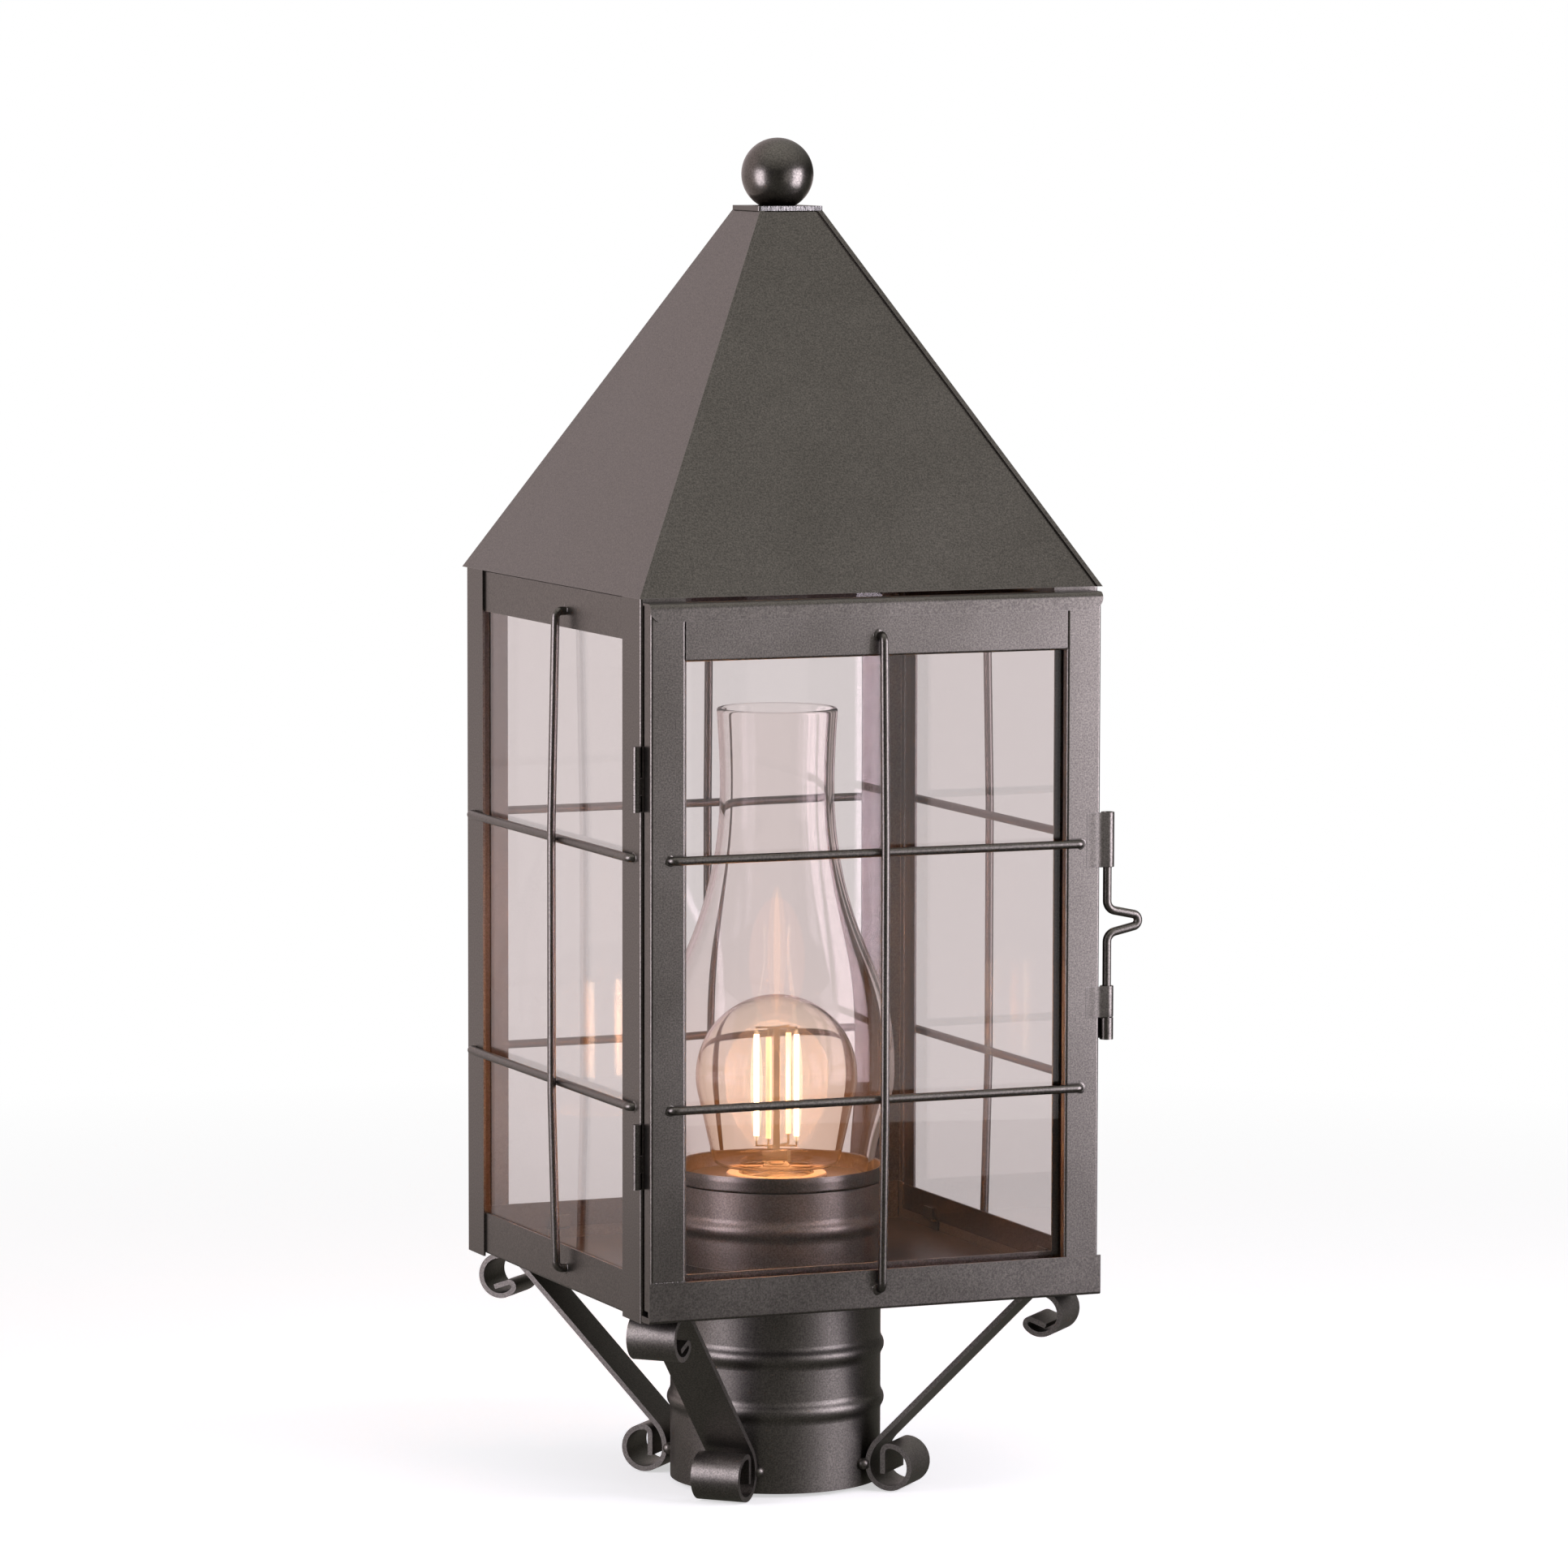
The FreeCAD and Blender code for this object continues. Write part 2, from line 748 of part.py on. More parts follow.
def drip_lip():
    """Rolled strip over the top of the door, with rounded lower corners."""
    left = door_left - lip_overhang
    right = door_right + lip_overhang
    low = door_top_z - lip_h
    depth = door_depth + sheet
    moves = [run(depth - lip_bend), bend(90, lip_bend), run(lip_h - lip_bend)]
    section = ribbon(ACROSS, (-door_back, door_top_z), 180, moves, 0, sheet)
    section.translate(Vector(left, 0, 0))
    strip = section.extrude(Vector(right - left, 0, 0))
    front = [run(right - left - 2 * lip_corner_r), bend(90, lip_corner_r), run(lip_h - lip_corner_r)]
    legs = walk((left + lip_corner_r, low), 0, front)
    edges = [leg_edge(ELEVATION, leg, 0) for leg in legs]
    top_right = legs[-1][-1][0]
    back = walk((top_right.x, top_right.y), 180, [run(right - left)])
    down = walk((left, door_top_z), 270, [run(lip_h - lip_corner_r), bend(90, lip_corner_r)])
    edges += [leg_edge(ELEVATION, leg, 0) for leg in back + down]
    shape = Part.Face(Part.Wire(edges)).extrude(Vector(0, -door_face - body_half, 0))
    return strip.common(shape)


def door_pane():
    """Glass of the door, standing on the pan behind the inner returns."""
    left, right = door_rails_span()
    front = stile_return - door_face
    top = stile_top_z - sheet - door_pane_top_drop
    return block(left - door_pane_lap, right + door_pane_lap, front, front + pane_t, floor_z, top)


def door_clips():
    """Four flat clips between the glass and the back returns of the stiles."""
    front = stile_return - door_face + pane_t
    clips = []
    for z in (body_base_z + door_clip_inset, door_top_z - door_clip_inset - door_clip_h):
        left = door_left + sheet + fold_clearance
        right = door_right - sheet - fold_clearance
        clips.append(block(left, left + door_clip_w, front, front + sheet, z, z + door_clip_h))
        clips.append(block(right - door_clip_w, right, front, front + sheet, z, z + door_clip_h))
    return clips


def door_guard():
    """Guard of the door: two rungs into the stiles and a bar into the two rails."""
    left = (door_left + door_right) / 2 - door_rung_half
    right = (door_left + door_right) / 2 + door_rung_half
    wires = [guard_rung(door_face, level, left, right) for level in (rung_low_z, rung_high_z)]
    wires.append(guard_bar(door_face, 0, bar_low_z(), door_bar_high_z(), door_face - sheet))
    return wires


def door_bar_high_z():
    """Highest point of the bar on the door, below the drip lip."""
    return door_top_z - door_bar_top_drop


def hinge_frame_leaf(z):
    """Leaf on the corner post, with the lowest and the highest knuckle."""
    mid_z = z + low_knuckle_h + knuckle_gap
    high_z = mid_z + mid_knuckle_h + knuckle_gap
    top_z = z + low_knuckle_h + mid_knuckle_h + high_knuckle_h + 2 * knuckle_gap
    leaf = block(pin_x, pin_x + leaf_reach, -body_half - leaf_t, -body_half, z, top_z)
    window = block(pin_x, pin_x + knuckle_r + knuckle_gap, -body_half - leaf_t, -body_half,
                   z + low_knuckle_h, high_z)
    leaf = leaf.cut(window)
    leaf = leaf.fuse([round_bar(knuckle_r, pin_x, pin_y, z, z + low_knuckle_h),
                      round_bar(knuckle_r, pin_x, pin_y, high_z, top_z)])
    return leaf.cut(round_bar(pin_r, pin_x, pin_y, z, top_z)).removeSplitter()


def hinge_door_leaf(z):
    """Leaf on the back of the hinge stile, with the middle knuckle."""
    mid_z = z + low_knuckle_h + knuckle_gap
    high_z = mid_z + mid_knuckle_h
    top_z = z + low_knuckle_h + mid_knuckle_h + high_knuckle_h + 2 * knuckle_gap
    inner = pin_x + knuckle_r + knuckle_gap
    leaf = block(inner, pin_x + leaf_reach, -door_back, leaf_t - door_back, z, top_z)
    tongue = block(pin_x, inner, -door_back, leaf_t - door_back, mid_z, high_z)
    leaf = leaf.fuse([tongue, round_bar(knuckle_r, pin_x, pin_y, mid_z, high_z)])
    return leaf.cut(round_bar(pin_r + pin_play, pin_x, pin_y, mid_z, high_z)).removeSplitter()


def hinge_pin(z):
    """Pin through the three knuckles of one hinge."""
    top_z = z + low_knuckle_h + mid_knuckle_h + high_knuckle_h + 2 * knuckle_gap
    return round_bar(pin_r, pin_x, pin_y, z, top_z)


def latch_barrel(z, height):
    """Leaf soldered to the latch stile and curled into a guide for the rod."""
    moves = [run(rod_x - door_right + barrel_leaf), bend(barrel_curl_angle, barrel_r)]
    section = ribbon(PLAN, (door_right - barrel_leaf, -door_face - sheet), 0, moves, 0, sheet)
    section.translate(Vector(0, 0, z))
    return section.extrude(AXIS * height)


def latch_catch():
    """Cup on the corner post that the lower end of the rod drops into."""
    cup = round_bar(barrel_r, rod_x, rod_y, catch_z, catch_top_z)
    leaf = block(body_half, body_half + sheet, rod_y, catch_leaf - body_half, catch_z, catch_top_z)
    bore = round_bar(rod_r + rod_play, rod_x, rod_y, catch_z + catch_floor, catch_top_z)
    return cup.fuse(leaf).cut(bore).removeSplitter()


def latch_rod():
    """Bent rod that is lifted by its nose and falls back into the cup."""
    flank = 90 - grip_slope
    slope = math.radians(grip_slope)
    curve_out = grip_bend * (1 - math.sin(slope))
    nose_out = grip_nose * (1 - math.sin(slope))
    leg = (grip_out - curve_out - nose_out) / math.cos(slope)
    half_height = grip_bend * math.cos(slope) + leg * math.sin(slope) + grip_nose * math.cos(slope)
    moves = [run(rod_top_z - grip_z - half_height), bend(flank, grip_bend), run(leg)]
    moves += [bend(-2 * flank, grip_nose), run(leg), bend(flank, grip_bend)]
    moves.append(run(grip_z - half_height - rod_base_z))
    plane = (Vector(0, rod_y, 0), Vector(1, 0, 0), Vector(0, 0, 1))
    return bent_wire(plane, (rod_x, rod_top_z), 270, moves, rod_r)


def gallery_pan():
    """Shallow pan on the fitter tube that holds the foot of the chimney and the lampholder."""
    hole_r = holder_r + holder_clearance
    rim_h = gallery_lean_r * math.sin(math.radians(gallery_lean))
    moves = [run(gallery_r - hole_r - fold_r), bend(90, fold_r), run(gallery_h - fold_r - rim_h)]
    moves.append(bend(gallery_lean, gallery_lean_r))
    pan = turned(ribbon(ELEVATION, (hole_r, fitter_length), 0, moves, 0, sheet))
    outer = bore_r - spigot_clearance
    spigot = round_bar(outer, 0, 0, fitter_length - spigot_h, fitter_length)
    spigot = spigot.cut(round_bar(outer - sheet, 0, 0, fitter_length - spigot_h, fitter_length))
    return pan.fuse(spigot).removeSplitter()


def chimney_side():
    """Outer side of the chimney as a smooth curve through its key levels."""
    points = [(chimney_foot_r, 0), (chimney_flare_r, chimney_flare_h), (chimney_bulge_r, chimney_bulge_h),
              (chimney_belly_r, chimney_belly_h), (chimney_shoulder_r, chimney_shoulder_h),
              (chimney_waist_r, chimney_waist_h), (chimney_throat_r, chimney_throat_h),
              (chimney_neck_r, chimney_neck_h), (chimney_rim_r, chimney_h)]
    curve = Part.BSplineCurve()
    curve.interpolate([Vector(r, 0, seat_z + h) for r, h in points])
    return curve


def chimney_inside(side):
    """Inner side of the chimney, one wall in from the outer side."""
    spots = []
    first = side.FirstParameter
    span = side.LastParameter - first
    for step in range(chimney_samples + 1):
        place = first + span * step / chimney_samples
        along = side.tangent(place)[0]
        spots.append(side.value(place) + Vector(-along.z, 0, along.x) * chimney_wall)
    spots[0].z = seat_z
    spots[-1].z = seat_z + chimney_h
    curve = Part.BSplineCurve()
    curve.interpolate(spots)
    return curve


def chimney():
    """Blown glass chimney, open at both ends."""
    outer = chimney_side()
    inner = chimney_inside(outer)
    foot = Part.LineSegment(outer.StartPoint, inner.StartPoint).toShape()
    rim = Part.LineSegment(outer.EndPoint, inner.EndPoint).toShape()
    wire = Part.Wire(Part.sortEdges([outer.toShape(), inner.toShape(), foot, rim])[0])
    return turned(Part.Face(wire))


def rims_at(shape, radius, level):
    """Round edges of one radius at one level."""
    rims = []
    for edge in shape.Edges:
        if edge.Closed and abs(edge.BoundBox.ZMax - level) < sheet / 10:
            if abs(edge.BoundBox.XMax - radius) < sheet / 10:
                rims.append(edge)
    return rims


def lampholder_body():
    """Ceramic cup of the lampholder, hung in the pan by its flange."""
    points = [(0, holder_base_z), (holder_r, holder_base_z), (holder_r, seat_z), (holder_flange_r, seat_z),
              (holder_flange_r, holder_top_z), (shell_out_r, holder_top_z), (shell_out_r, holder_floor_z),
              (0, holder_floor_z)]
    body = turned(outline(ELEVATION, points))
    rims = rims_at(body, holder_flange_r, holder_top_z) + rims_at(body, holder_r, holder_base_z)
    return body.makeFillet(holder_round, rims)


def lampholder_ring():
    """Ring screwed up the lampholder from below, against the pan."""
    ring = round_bar(holder_ring_r, 0, 0, fitter_length - holder_ring_h, fitter_length)
    return ring.cut(round_bar(holder_r, 0, 0, fitter_length - holder_ring_h, fitter_length))


def lampholder_shell():
    """Screw shell that lines the lampholder."""
    top = holder_floor_z + shell_h
    shell = round_bar(shell_out_r, 0, 0, holder_floor_z, top)
    return shell.cut(round_bar(shell_in_r, 0, 0, holder_floor_z, top))


def lampholder_contact():
    """Springy strip folded back on itself under the tip of the bulb."""
    half = contact_t / 2
    slope = math.radians(contact_slope)
    fold_h = contact_bend * (1 + math.cos(slope))
    rise = contact_rise - half - half * math.cos(slope) - fold_h
    moves = [run(contact_run), bend(contact_slope - 180, contact_bend), run(rise / math.sin(slope))]
    plane = (Vector(0, -contact_w / 2, 0), Vector(1, 0, 0), Vector(0, 0, 1))
    strip = ribbon(plane, (contact_half, holder_floor_z + half), 180, moves, -half, half)
    return strip.extrude(Vector(0, contact_w, 0))


def bulb_glass():
    """Blown envelope: a globe, a tapering flank and a neck tucked into the cap."""
    lean = math.radians(bulb_lean)
    tuck = math.radians(bulb_tuck_angle)
    inward = bulb_r * math.cos(lean) - bulb_neck_r
    inward -= bulb_tuck_r * (math.cos(lean) - math.cos(tuck)) + bulb_neck_bend * (1 - math.cos(tuck))
    downward = bulb_h - cap_h - bulb_r * (1 + math.sin(lean)) - bulb_neck_run
    downward -= bulb_tuck_r * (math.sin(tuck) - math.sin(lean)) + bulb_neck_bend * math.sin(tuck)
    share = math.sin(tuck - lean)
    flank = (downward * math.sin(tuck) - inward * math.cos(tuck)) / share
    under = (inward * math.cos(lean) - downward * math.sin(lean)) / share
    moves = [bend(-90 - bulb_lean, bulb_r), run(flank), bend(bulb_lean - bulb_tuck_angle, bulb_tuck_r)]
    moves += [run(under), bend(bulb_tuck_angle, bulb_neck_bend), run(bulb_neck_run)]
    return turned(ribbon(ELEVATION, (0, crown_z), 0, moves, -bulb_wall, 0))


def bulb_cap():
    """Metal screw cap that narrows to the contact tip."""
    tip_z = bulb_z + cap_tip_h
    taper_z = bulb_z + cap_taper_h
    points = [(0, bulb_z), (cap_tip_r, bulb_z), (cap_tip_r, tip_z), (cap_r - cap_chamfer, taper_z),
              (cap_r, taper_z + cap_chamfer), (cap_r, cap_rim_z), (0, cap_rim_z)]
    return turned(outline(ELEVATION, points))


def filament_place(angle):
    """Centre of one filament."""
    turn = math.radians(angle)
    return filament_ring * math.cos(turn), filament_ring * math.sin(turn)


def bulb_stem():
    """Glass flare, pinched press, rod and the wires that hold the filaments."""
    foot_r = bulb_neck_r - bulb_wall
    flare_z = cap_rim_z + flare_h
    points = [(0, cap_rim_z), (foot_r, cap_rim_z), (foot_r, cap_rim_z + flare_foot_t),
              (flare_low_r, cap_rim_z + flare_low_h), (flare_high_r, flare_z), (0, flare_z)]
    low = bulb_z + filament_base
    high = low + filament_run
    stem = turned(outline(ELEVATION, points))
    pieces = [block(-press_w / 2, press_w / 2, -press_t / 2, press_t / 2, flare_z, flare_z + press_h)]
    pieces.append(round_bar(stem_r, 0, 0, flare_z, high + high_lead))
    half = lead_w / 2
    for start, end, arm_z in ((low - low_lead, low, low - low_lead),
                              (high, high + high_lead, high + high_lead - lead_w)):
        for angle in filament_angles:
            lead = block(filament_ring - half, filament_ring + half, -half, half, start, end)
            arm = block(0, filament_ring + half, -half, half, arm_z, arm_z + lead_w)
            pieces += [lead.rotated(ORIGIN, AXIS, angle), arm.rotated(ORIGIN, AXIS, angle)]
    return stem.fuse(pieces).removeSplitter()


def bulb_filaments():
    """Light strips round the stem."""
    low = bulb_z + filament_base
    strips = []
    for angle in filament_angles:
        x, y = filament_place(angle)
        strips.append(round_bar(filament_r, x, y, low, low + filament_run))
    return strips


def save(name, shape):
    """Write one node as a STEP file."""
    if isinstance(shape, list):
        shape = Part.makeCompound(shape)
    shape.exportStep("parts/" + name + ".step")


def save_posts():
    """Four corner posts, drilled for the rungs of the three closed sides."""
    drills = [quarter_turns(rung_holes(body_half, shift, side_rung_half), count)
              for name, count, shift, bar_shift in SIDES]
    drills = Part.makeCompound(drills)
    for name, count in CORNERS:
        save("corner_post_" + name, quarter_turns(corner_post(quarter_turns(drills, -count)), count))


def save_sides():
    """Rails, glass and guard of the three closed sides."""
    levels = (bar_low_z() + wire_r, bar_high_z() - wire_r)
    clips = []
    for name, count, rung_shift, bar_shift in SIDES:
        holes = bar_holes(bar_shift, rail_out, levels)
        save("base_rail_" + name, quarter_turns(base_rail().cut(holes), count))
        save("top_rail_" + name, quarter_turns(top_rail().cut(holes), count))
        save("pane_" + name, quarter_turns(pane(), count))
        save("guard_" + name, [quarter_turns(wire, count) for wire in side_guard(rung_shift, bar_shift)])
        clips += [quarter_turns(clip, count) for clip in side_clips()]
    save("pane_clips", clips)


def save_front():
    """Rails round the door opening, and the floor."""
    save("base_rail_front", base_rail())
    save("door_header", header())
    save("floor_plate", floor_plate())


def save_roof():
    """Four roof panels, the cap plate and the finial."""
    left = lapped_roof_panel()
    right = quarter_turns(left, 2)
    front = plain_roof_panel(Part.makeCompound([left, right]))
    save("roof_left", left)
    save("roof_right", right)
    save("roof_front", front)
    save("roof_back", quarter_turns(front, 2))
    save("cap_plate", cap_plate())
    save("finial_ball", finial_ball())
    save("finial_stud", finial_stud())
    save("finial_nut", finial_nut())


def save_door():
    """Door, hinges and latch."""
    drills = rung_holes(door_face, (door_left + door_right) / 2, door_rung_half)
    bar_levels = (bar_low_z() + wire_r, door_bar_high_z() - wire_r)
    holes = bar_holes(0, door_face, bar_levels)
    save("door_stile_hinge", stile(False).cut(drills))
    save("door_stile_latch", stile(True).cut(drills))
    save("door_top_rail", door_top_rail(holes))
    save("door_bottom_rail", door_bottom_rail(holes))
    save("door_drip_lip", drip_lip())
    save("door_pane", door_pane())
    save("door_clips", door_clips())
    save("door_guard", door_guard())
    hinge_levels = (low_hinge_z, high_hinge_z)
    save("hinge_frame_leaves", [hinge_frame_leaf(z) for z in hinge_levels])
    save("hinge_door_leaves", [hinge_door_leaf(z) for z in hinge_levels])
    save("hinge_pins", [hinge_pin(z) for z in hinge_levels])
    save("latch_barrel_upper", latch_barrel(high_barrel_z, high_barrel_h))
    save("latch_barrel_lower", latch_barrel(low_barrel_z, low_barrel_h))
    save("latch_catch", latch_catch())
    save("latch_rod", latch_rod())


def save_lamp():
    """Gallery, chimney, lampholder and bulb."""
    save("gallery_pan", gallery_pan())
    save("chimney", chimney())
    save("lampholder_body", lampholder_body())
    save("lampholder_ring", lampholder_ring())
    save("lampholder_shell", lampholder_shell())
    save("lampholder_contact", lampholder_contact())
    save("bulb_glass", bulb_glass())
    save("bulb_cap", bulb_cap())
    save("bulb_stem", bulb_stem())
    save("bulb_filaments", bulb_filaments())


def save_fitter():
    """Fitter tube and its four scroll brackets."""
    save("fitter_tube", fitter_tube())
    bracket = scroll_bracket()
    for name, count in CORNERS:
        save("scroll_bracket_" + name, quarter_turns(bracket, count))


def main():
    """Write every node."""
    os.makedirs("parts", exist_ok=True)
    save_fitter()
    save_posts()
    save_sides()
    save_front()
    save_roof()
    save_lamp()
    save_door()


main()
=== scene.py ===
import math

import bpy
import numpy as np
from mathutils import Matrix, Vector


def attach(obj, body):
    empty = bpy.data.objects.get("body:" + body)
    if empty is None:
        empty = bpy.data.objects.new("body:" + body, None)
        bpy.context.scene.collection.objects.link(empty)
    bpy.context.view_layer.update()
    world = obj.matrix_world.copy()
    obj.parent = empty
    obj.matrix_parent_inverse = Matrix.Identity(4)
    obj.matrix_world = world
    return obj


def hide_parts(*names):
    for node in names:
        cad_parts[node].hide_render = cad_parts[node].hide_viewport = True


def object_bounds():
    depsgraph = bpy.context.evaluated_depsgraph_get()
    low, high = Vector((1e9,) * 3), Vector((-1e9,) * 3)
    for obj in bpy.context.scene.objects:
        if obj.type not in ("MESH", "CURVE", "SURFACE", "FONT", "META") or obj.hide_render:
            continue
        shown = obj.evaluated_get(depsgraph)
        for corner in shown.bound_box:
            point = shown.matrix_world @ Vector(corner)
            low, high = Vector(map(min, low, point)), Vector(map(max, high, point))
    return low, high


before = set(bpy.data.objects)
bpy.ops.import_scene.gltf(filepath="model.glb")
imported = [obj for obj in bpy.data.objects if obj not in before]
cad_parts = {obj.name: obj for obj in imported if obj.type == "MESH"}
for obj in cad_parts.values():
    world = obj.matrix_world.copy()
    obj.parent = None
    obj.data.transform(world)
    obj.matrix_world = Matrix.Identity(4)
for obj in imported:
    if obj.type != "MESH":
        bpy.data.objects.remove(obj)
cad_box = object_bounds()

# Street lantern for the top of a round post. Metres, +Z up, door towards -Y.

# Thickness of the sheet metal, half widths of the body and of the cap plate
SHEET = 0.0008
BODY_HALF = 0.09
CAP_HALF = 0.013

# Heights of the chimney's seat and of the bulb's foot, and the walls of both glasses
SEAT_Z = 0.1133
BULB_Z = 0.088
CHIMNEY_WALL = 0.002
BULB_WALL = 0.0008

# Outer curve of the chimney, as (radius, height above its seat)
CHIMNEY_LEVELS = ((0.036, 0.001), (0.0382, 0.0145), (0.0436, 0.0331), (0.0441, 0.0457),
                  (0.0411, 0.0673), (0.0325, 0.0891), (0.0244, 0.116), (0.0217, 0.1367),
                  (0.0226, 0.1757))

# Outer curve of the bulb from its crown down, as bends and runs, and the height of the crown
BULB_MOVES = ((-103, 0.0303), (0.02488, 0), (-67, 0.003), (0.0074, 0), (80, 0.0015), (0.0026, 0))
BULB_HEIGHT = 0.094

# Middle height of the filaments, the circle they stand on and their turns on it.
# Two of them are the bright ones. The streak is a glowing skin above the bulb, a painted reflection
# of the filaments in the chimney.
FILAMENT_Z = 0.148
FILAMENT_RING = 0.0075
FILAMENT_TURNS = (31, 157, 224, 337)
BRIGHT_TURNS = (157, 337)
STREAK_Z = 0.1985

# Outer face of the door, and where the guard wires enter the sheet
DOOR_FACE = -0.0983
SIDE_RUNG_END = 0.0835
DOOR_RUNG_ENDS = (-0.0816, 0.08)
DOOR_BAR_X = -0.0008
RUNG_LEVELS = (0.1555, 0.2455)
BAR_ENDS = (0.0858, 0.3297)
DOOR_BAR_TOP = 0.3243

# Radius and height of a lump of solder
LUMP_R = 0.0021
LUMP_RISE = 0.0003

# Axis of the latch rod and the outer radius of its guides. The slope of their feet and the
# turn of their curls, in degrees. Plan of the fillet, steps back down the slope from the
# curl, and the name, start and height of each guide.
ROD_X = 0.0913
ROD_Y = -0.0966
GUIDE_R = 0.0025
GUIDE_SLOPE = 12.0
GUIDE_TURN = 305
GUIDE_FILLET = ((0.0821, -0.09832), (0.084, -0.09834), (0.0861, -0.09838))
GUIDE_BACKS = (0.0028, 0.0021, 0.0014, 0.0007, 0)
GUIDES = (("latch_barrel_upper", 0.2364, 0.0202), ("latch_barrel_lower", 0.181, 0.0115))

# Cover of the glowing skins
GLOW_ALPHA = 0.004

# Powder coat in its darker and lighter clouds, on the sheet and on the straps, and a painted
# highlight: a lighter colour on its sharp edges
PAINT = ((0.126, 0.118, 0.109), (0.148, 0.139, 0.128))
# The straps and the fitter tube get a lighter copy of the paint: a painted highlight that brightens
# them.
STRAP_LIT_PAINT = ((0.164, 0.153, 0.142), (0.192, 0.181, 0.166))
EDGE_HIGHLIGHT = (0.21, 0.198, 0.188, 1)

# Height of the soft boxes' middles, and the tint of the two strong ones
LAMP_Z = 0.33
LAMP_TINT = (1.0, 0.93, 1.06)

# Warm light of the bulb: its power in watts, its colour and its radius
BULB_POWER = 3.0
BULB_COLOUR = (1.0, 0.5, 0.22)
BULB_SOFTNESS = 0.026

# What metal mirrors: the backdrop and its middle as a turn about the post in degrees, the
# dim front from its foot to its top, and the floor in front of the lantern and behind it
BACKDROP_LIGHT = (0.84, 0.72, 0.73, 1)
BACKDROP_TURN = -150.0
FRONT_LOW = (0.06, 0.058, 0.048, 1)
FRONT_HIGH = (1.0, 0.97, 0.93, 1)
FLOOR_FRONT = (0.1, 0.098, 0.082, 1)
FLOOR_BACK = (0.68, 0.58, 0.57, 1)

# Half width of the floor, and the gap between it and the lantern
FLOOR_REACH = 12.0
FLOOR_GAP = 0.0005

# Sight point of the camera in metres, its turn about the post, its two tilts in degrees and
# its lens in millimetres
CAMERA_AT = (-1.04869, -2.53036, 0.53059)
CAMERA_YAW = -22.571
CAMERA_PITCH = 5.616
CAMERA_ROLL = 0.108
CAMERA_LENS = 169.226


def place_camera():
    """Camera on its stand. Back, right and up are turned by yaw, pitch and roll."""
    yaw, pitch, roll = (math.radians(a) for a in (CAMERA_YAW, CAMERA_PITCH, CAMERA_ROLL))
    level = math.cos(pitch)
    back = Vector((math.sin(yaw) * level, -math.cos(yaw) * level, math.sin(pitch)))
    right = Vector((math.cos(yaw), math.sin(yaw), 0))
    up = back.cross(right)
    tilted_right = right * math.cos(roll) + up * math.sin(roll)
    tilted_up = up * math.cos(roll) - right * math.sin(roll)
    turn = Matrix((tilted_right, tilted_up, back)).transposed().to_4x4()
    data = bpy.data.cameras.new("camera")
    data.sensor_width = 36
    data.lens = CAMERA_LENS
    data.clip_start = 0.1
    data.clip_end = 50
    camera = bpy.data.objects.new("camera", data)
    camera.matrix_world = Matrix.Translation(CAMERA_AT) @ turn
    bpy.context.scene.collection.objects.link(camera)
    bpy.context.scene.camera = camera


def trace(start, heading, moves, step=0.0006):
    """Points and headings along a flat path of runs (length, 0) and bends (degrees, radius).

    A run adds length times the heading's direction. A bend turns about the point that lies
    one radius to its inner side.
    """
    place, angle = np.array(start, float), math.radians(heading)
    places, angles = [place[None]], [np.array([angle])]
    for size, radius in moves:
        turn = math.radians(size) if radius else 0.0
        length = abs(turn) * radius if radius else size
        share = np.linspace(0, 1, max(2, int(length / step)) + 1)[1:]
        heads = angle + turn * share
        if radius:
            side = math.copysign(radius, turn)
            middle = place + side * np.array((-math.sin(angle), math.cos(angle)))
            spots = middle + side * np.stack((np.sin(heads), -np.cos(heads)), 1)
        else:
            spots = place + size * share[:, None] * np.array((math.cos(angle), math.sin(angle)))
        places.append(spots)
        angles.append(heads)
        place, angle = spots[-1], heads[-1]
    return np.concatenate(places), np.concatenate(angles)


def smooth_through(points, count):
    """Natural cubic spline through points, by chord length, at count even steps.

    The second derivatives m solve h0 m0 + 2 (h0 + h1) m1 + h1 m2 = 6 (slope1 - slope0), and
    are 0 at the ends. The headings along it come with the points.
    """
    points = np.array(points, float)
    chord = np.linalg.norm(np.diff(points, axis=0), axis=1)
    knots = np.concatenate(([0], np.cumsum(chord)))
    size = len(points)
    matrix, right = np.eye(size), np.zeros((size, 2))
    inner = np.arange(1, size - 1)
    matrix[inner, inner] = 2 * (chord[:-1] + chord[1:])
    matrix[inner, inner - 1] = chord[:-1]
    matrix[inner, inner + 1] = chord[1:]
    slope = np.diff(points, axis=0) / chord[:, None]
    right[1:-1] = 6 * np.diff(slope, axis=0)
    curve = np.linalg.solve(matrix, right)
    place = np.linspace(0, knots[-1], count)
    low = np.clip(np.searchsorted(knots, place, side="right") - 1, 0, size - 2)
    h = chord[low][:, None]
    a = (knots[low + 1] - place)[:, None]
    b = (place - knots[low])[:, None]
    m0, m1, p0, p1 = curve[low], curve[low + 1], points[low], points[low + 1]
    spots = ((m0 * a ** 3 + m1 * b ** 3) / (6 * h)
             + (p0 / h - m0 * h / 6) * a + (p1 / h - m1 * h / 6) * b)
    along = (m1 * b ** 2 - m0 * a ** 2) / (2 * h) + (p1 - p0) / h + (m0 - m1) * h / 6
    return spots, np.arctan2(along[:, 1], along[:, 0])


def beside(spots, heads, offset):
    """Path moved to the left of its headings."""
    return spots + offset * np.stack((-np.sin(heads), np.cos(heads)), 1)


def rounded_end(start, end, heading, count=9):
    """Half circle from start to end, without these two, that bulges along the heading."""
    middle, half = (start + end) / 2, (start - end) / 2
    turn = np.linspace(0, math.pi, count)[1:-1, None]
    bulge = np.linalg.norm(half) * np.array((math.cos(heading), math.sin(heading)))
    return middle + half * np.cos(turn) + bulge * np.sin(turn)


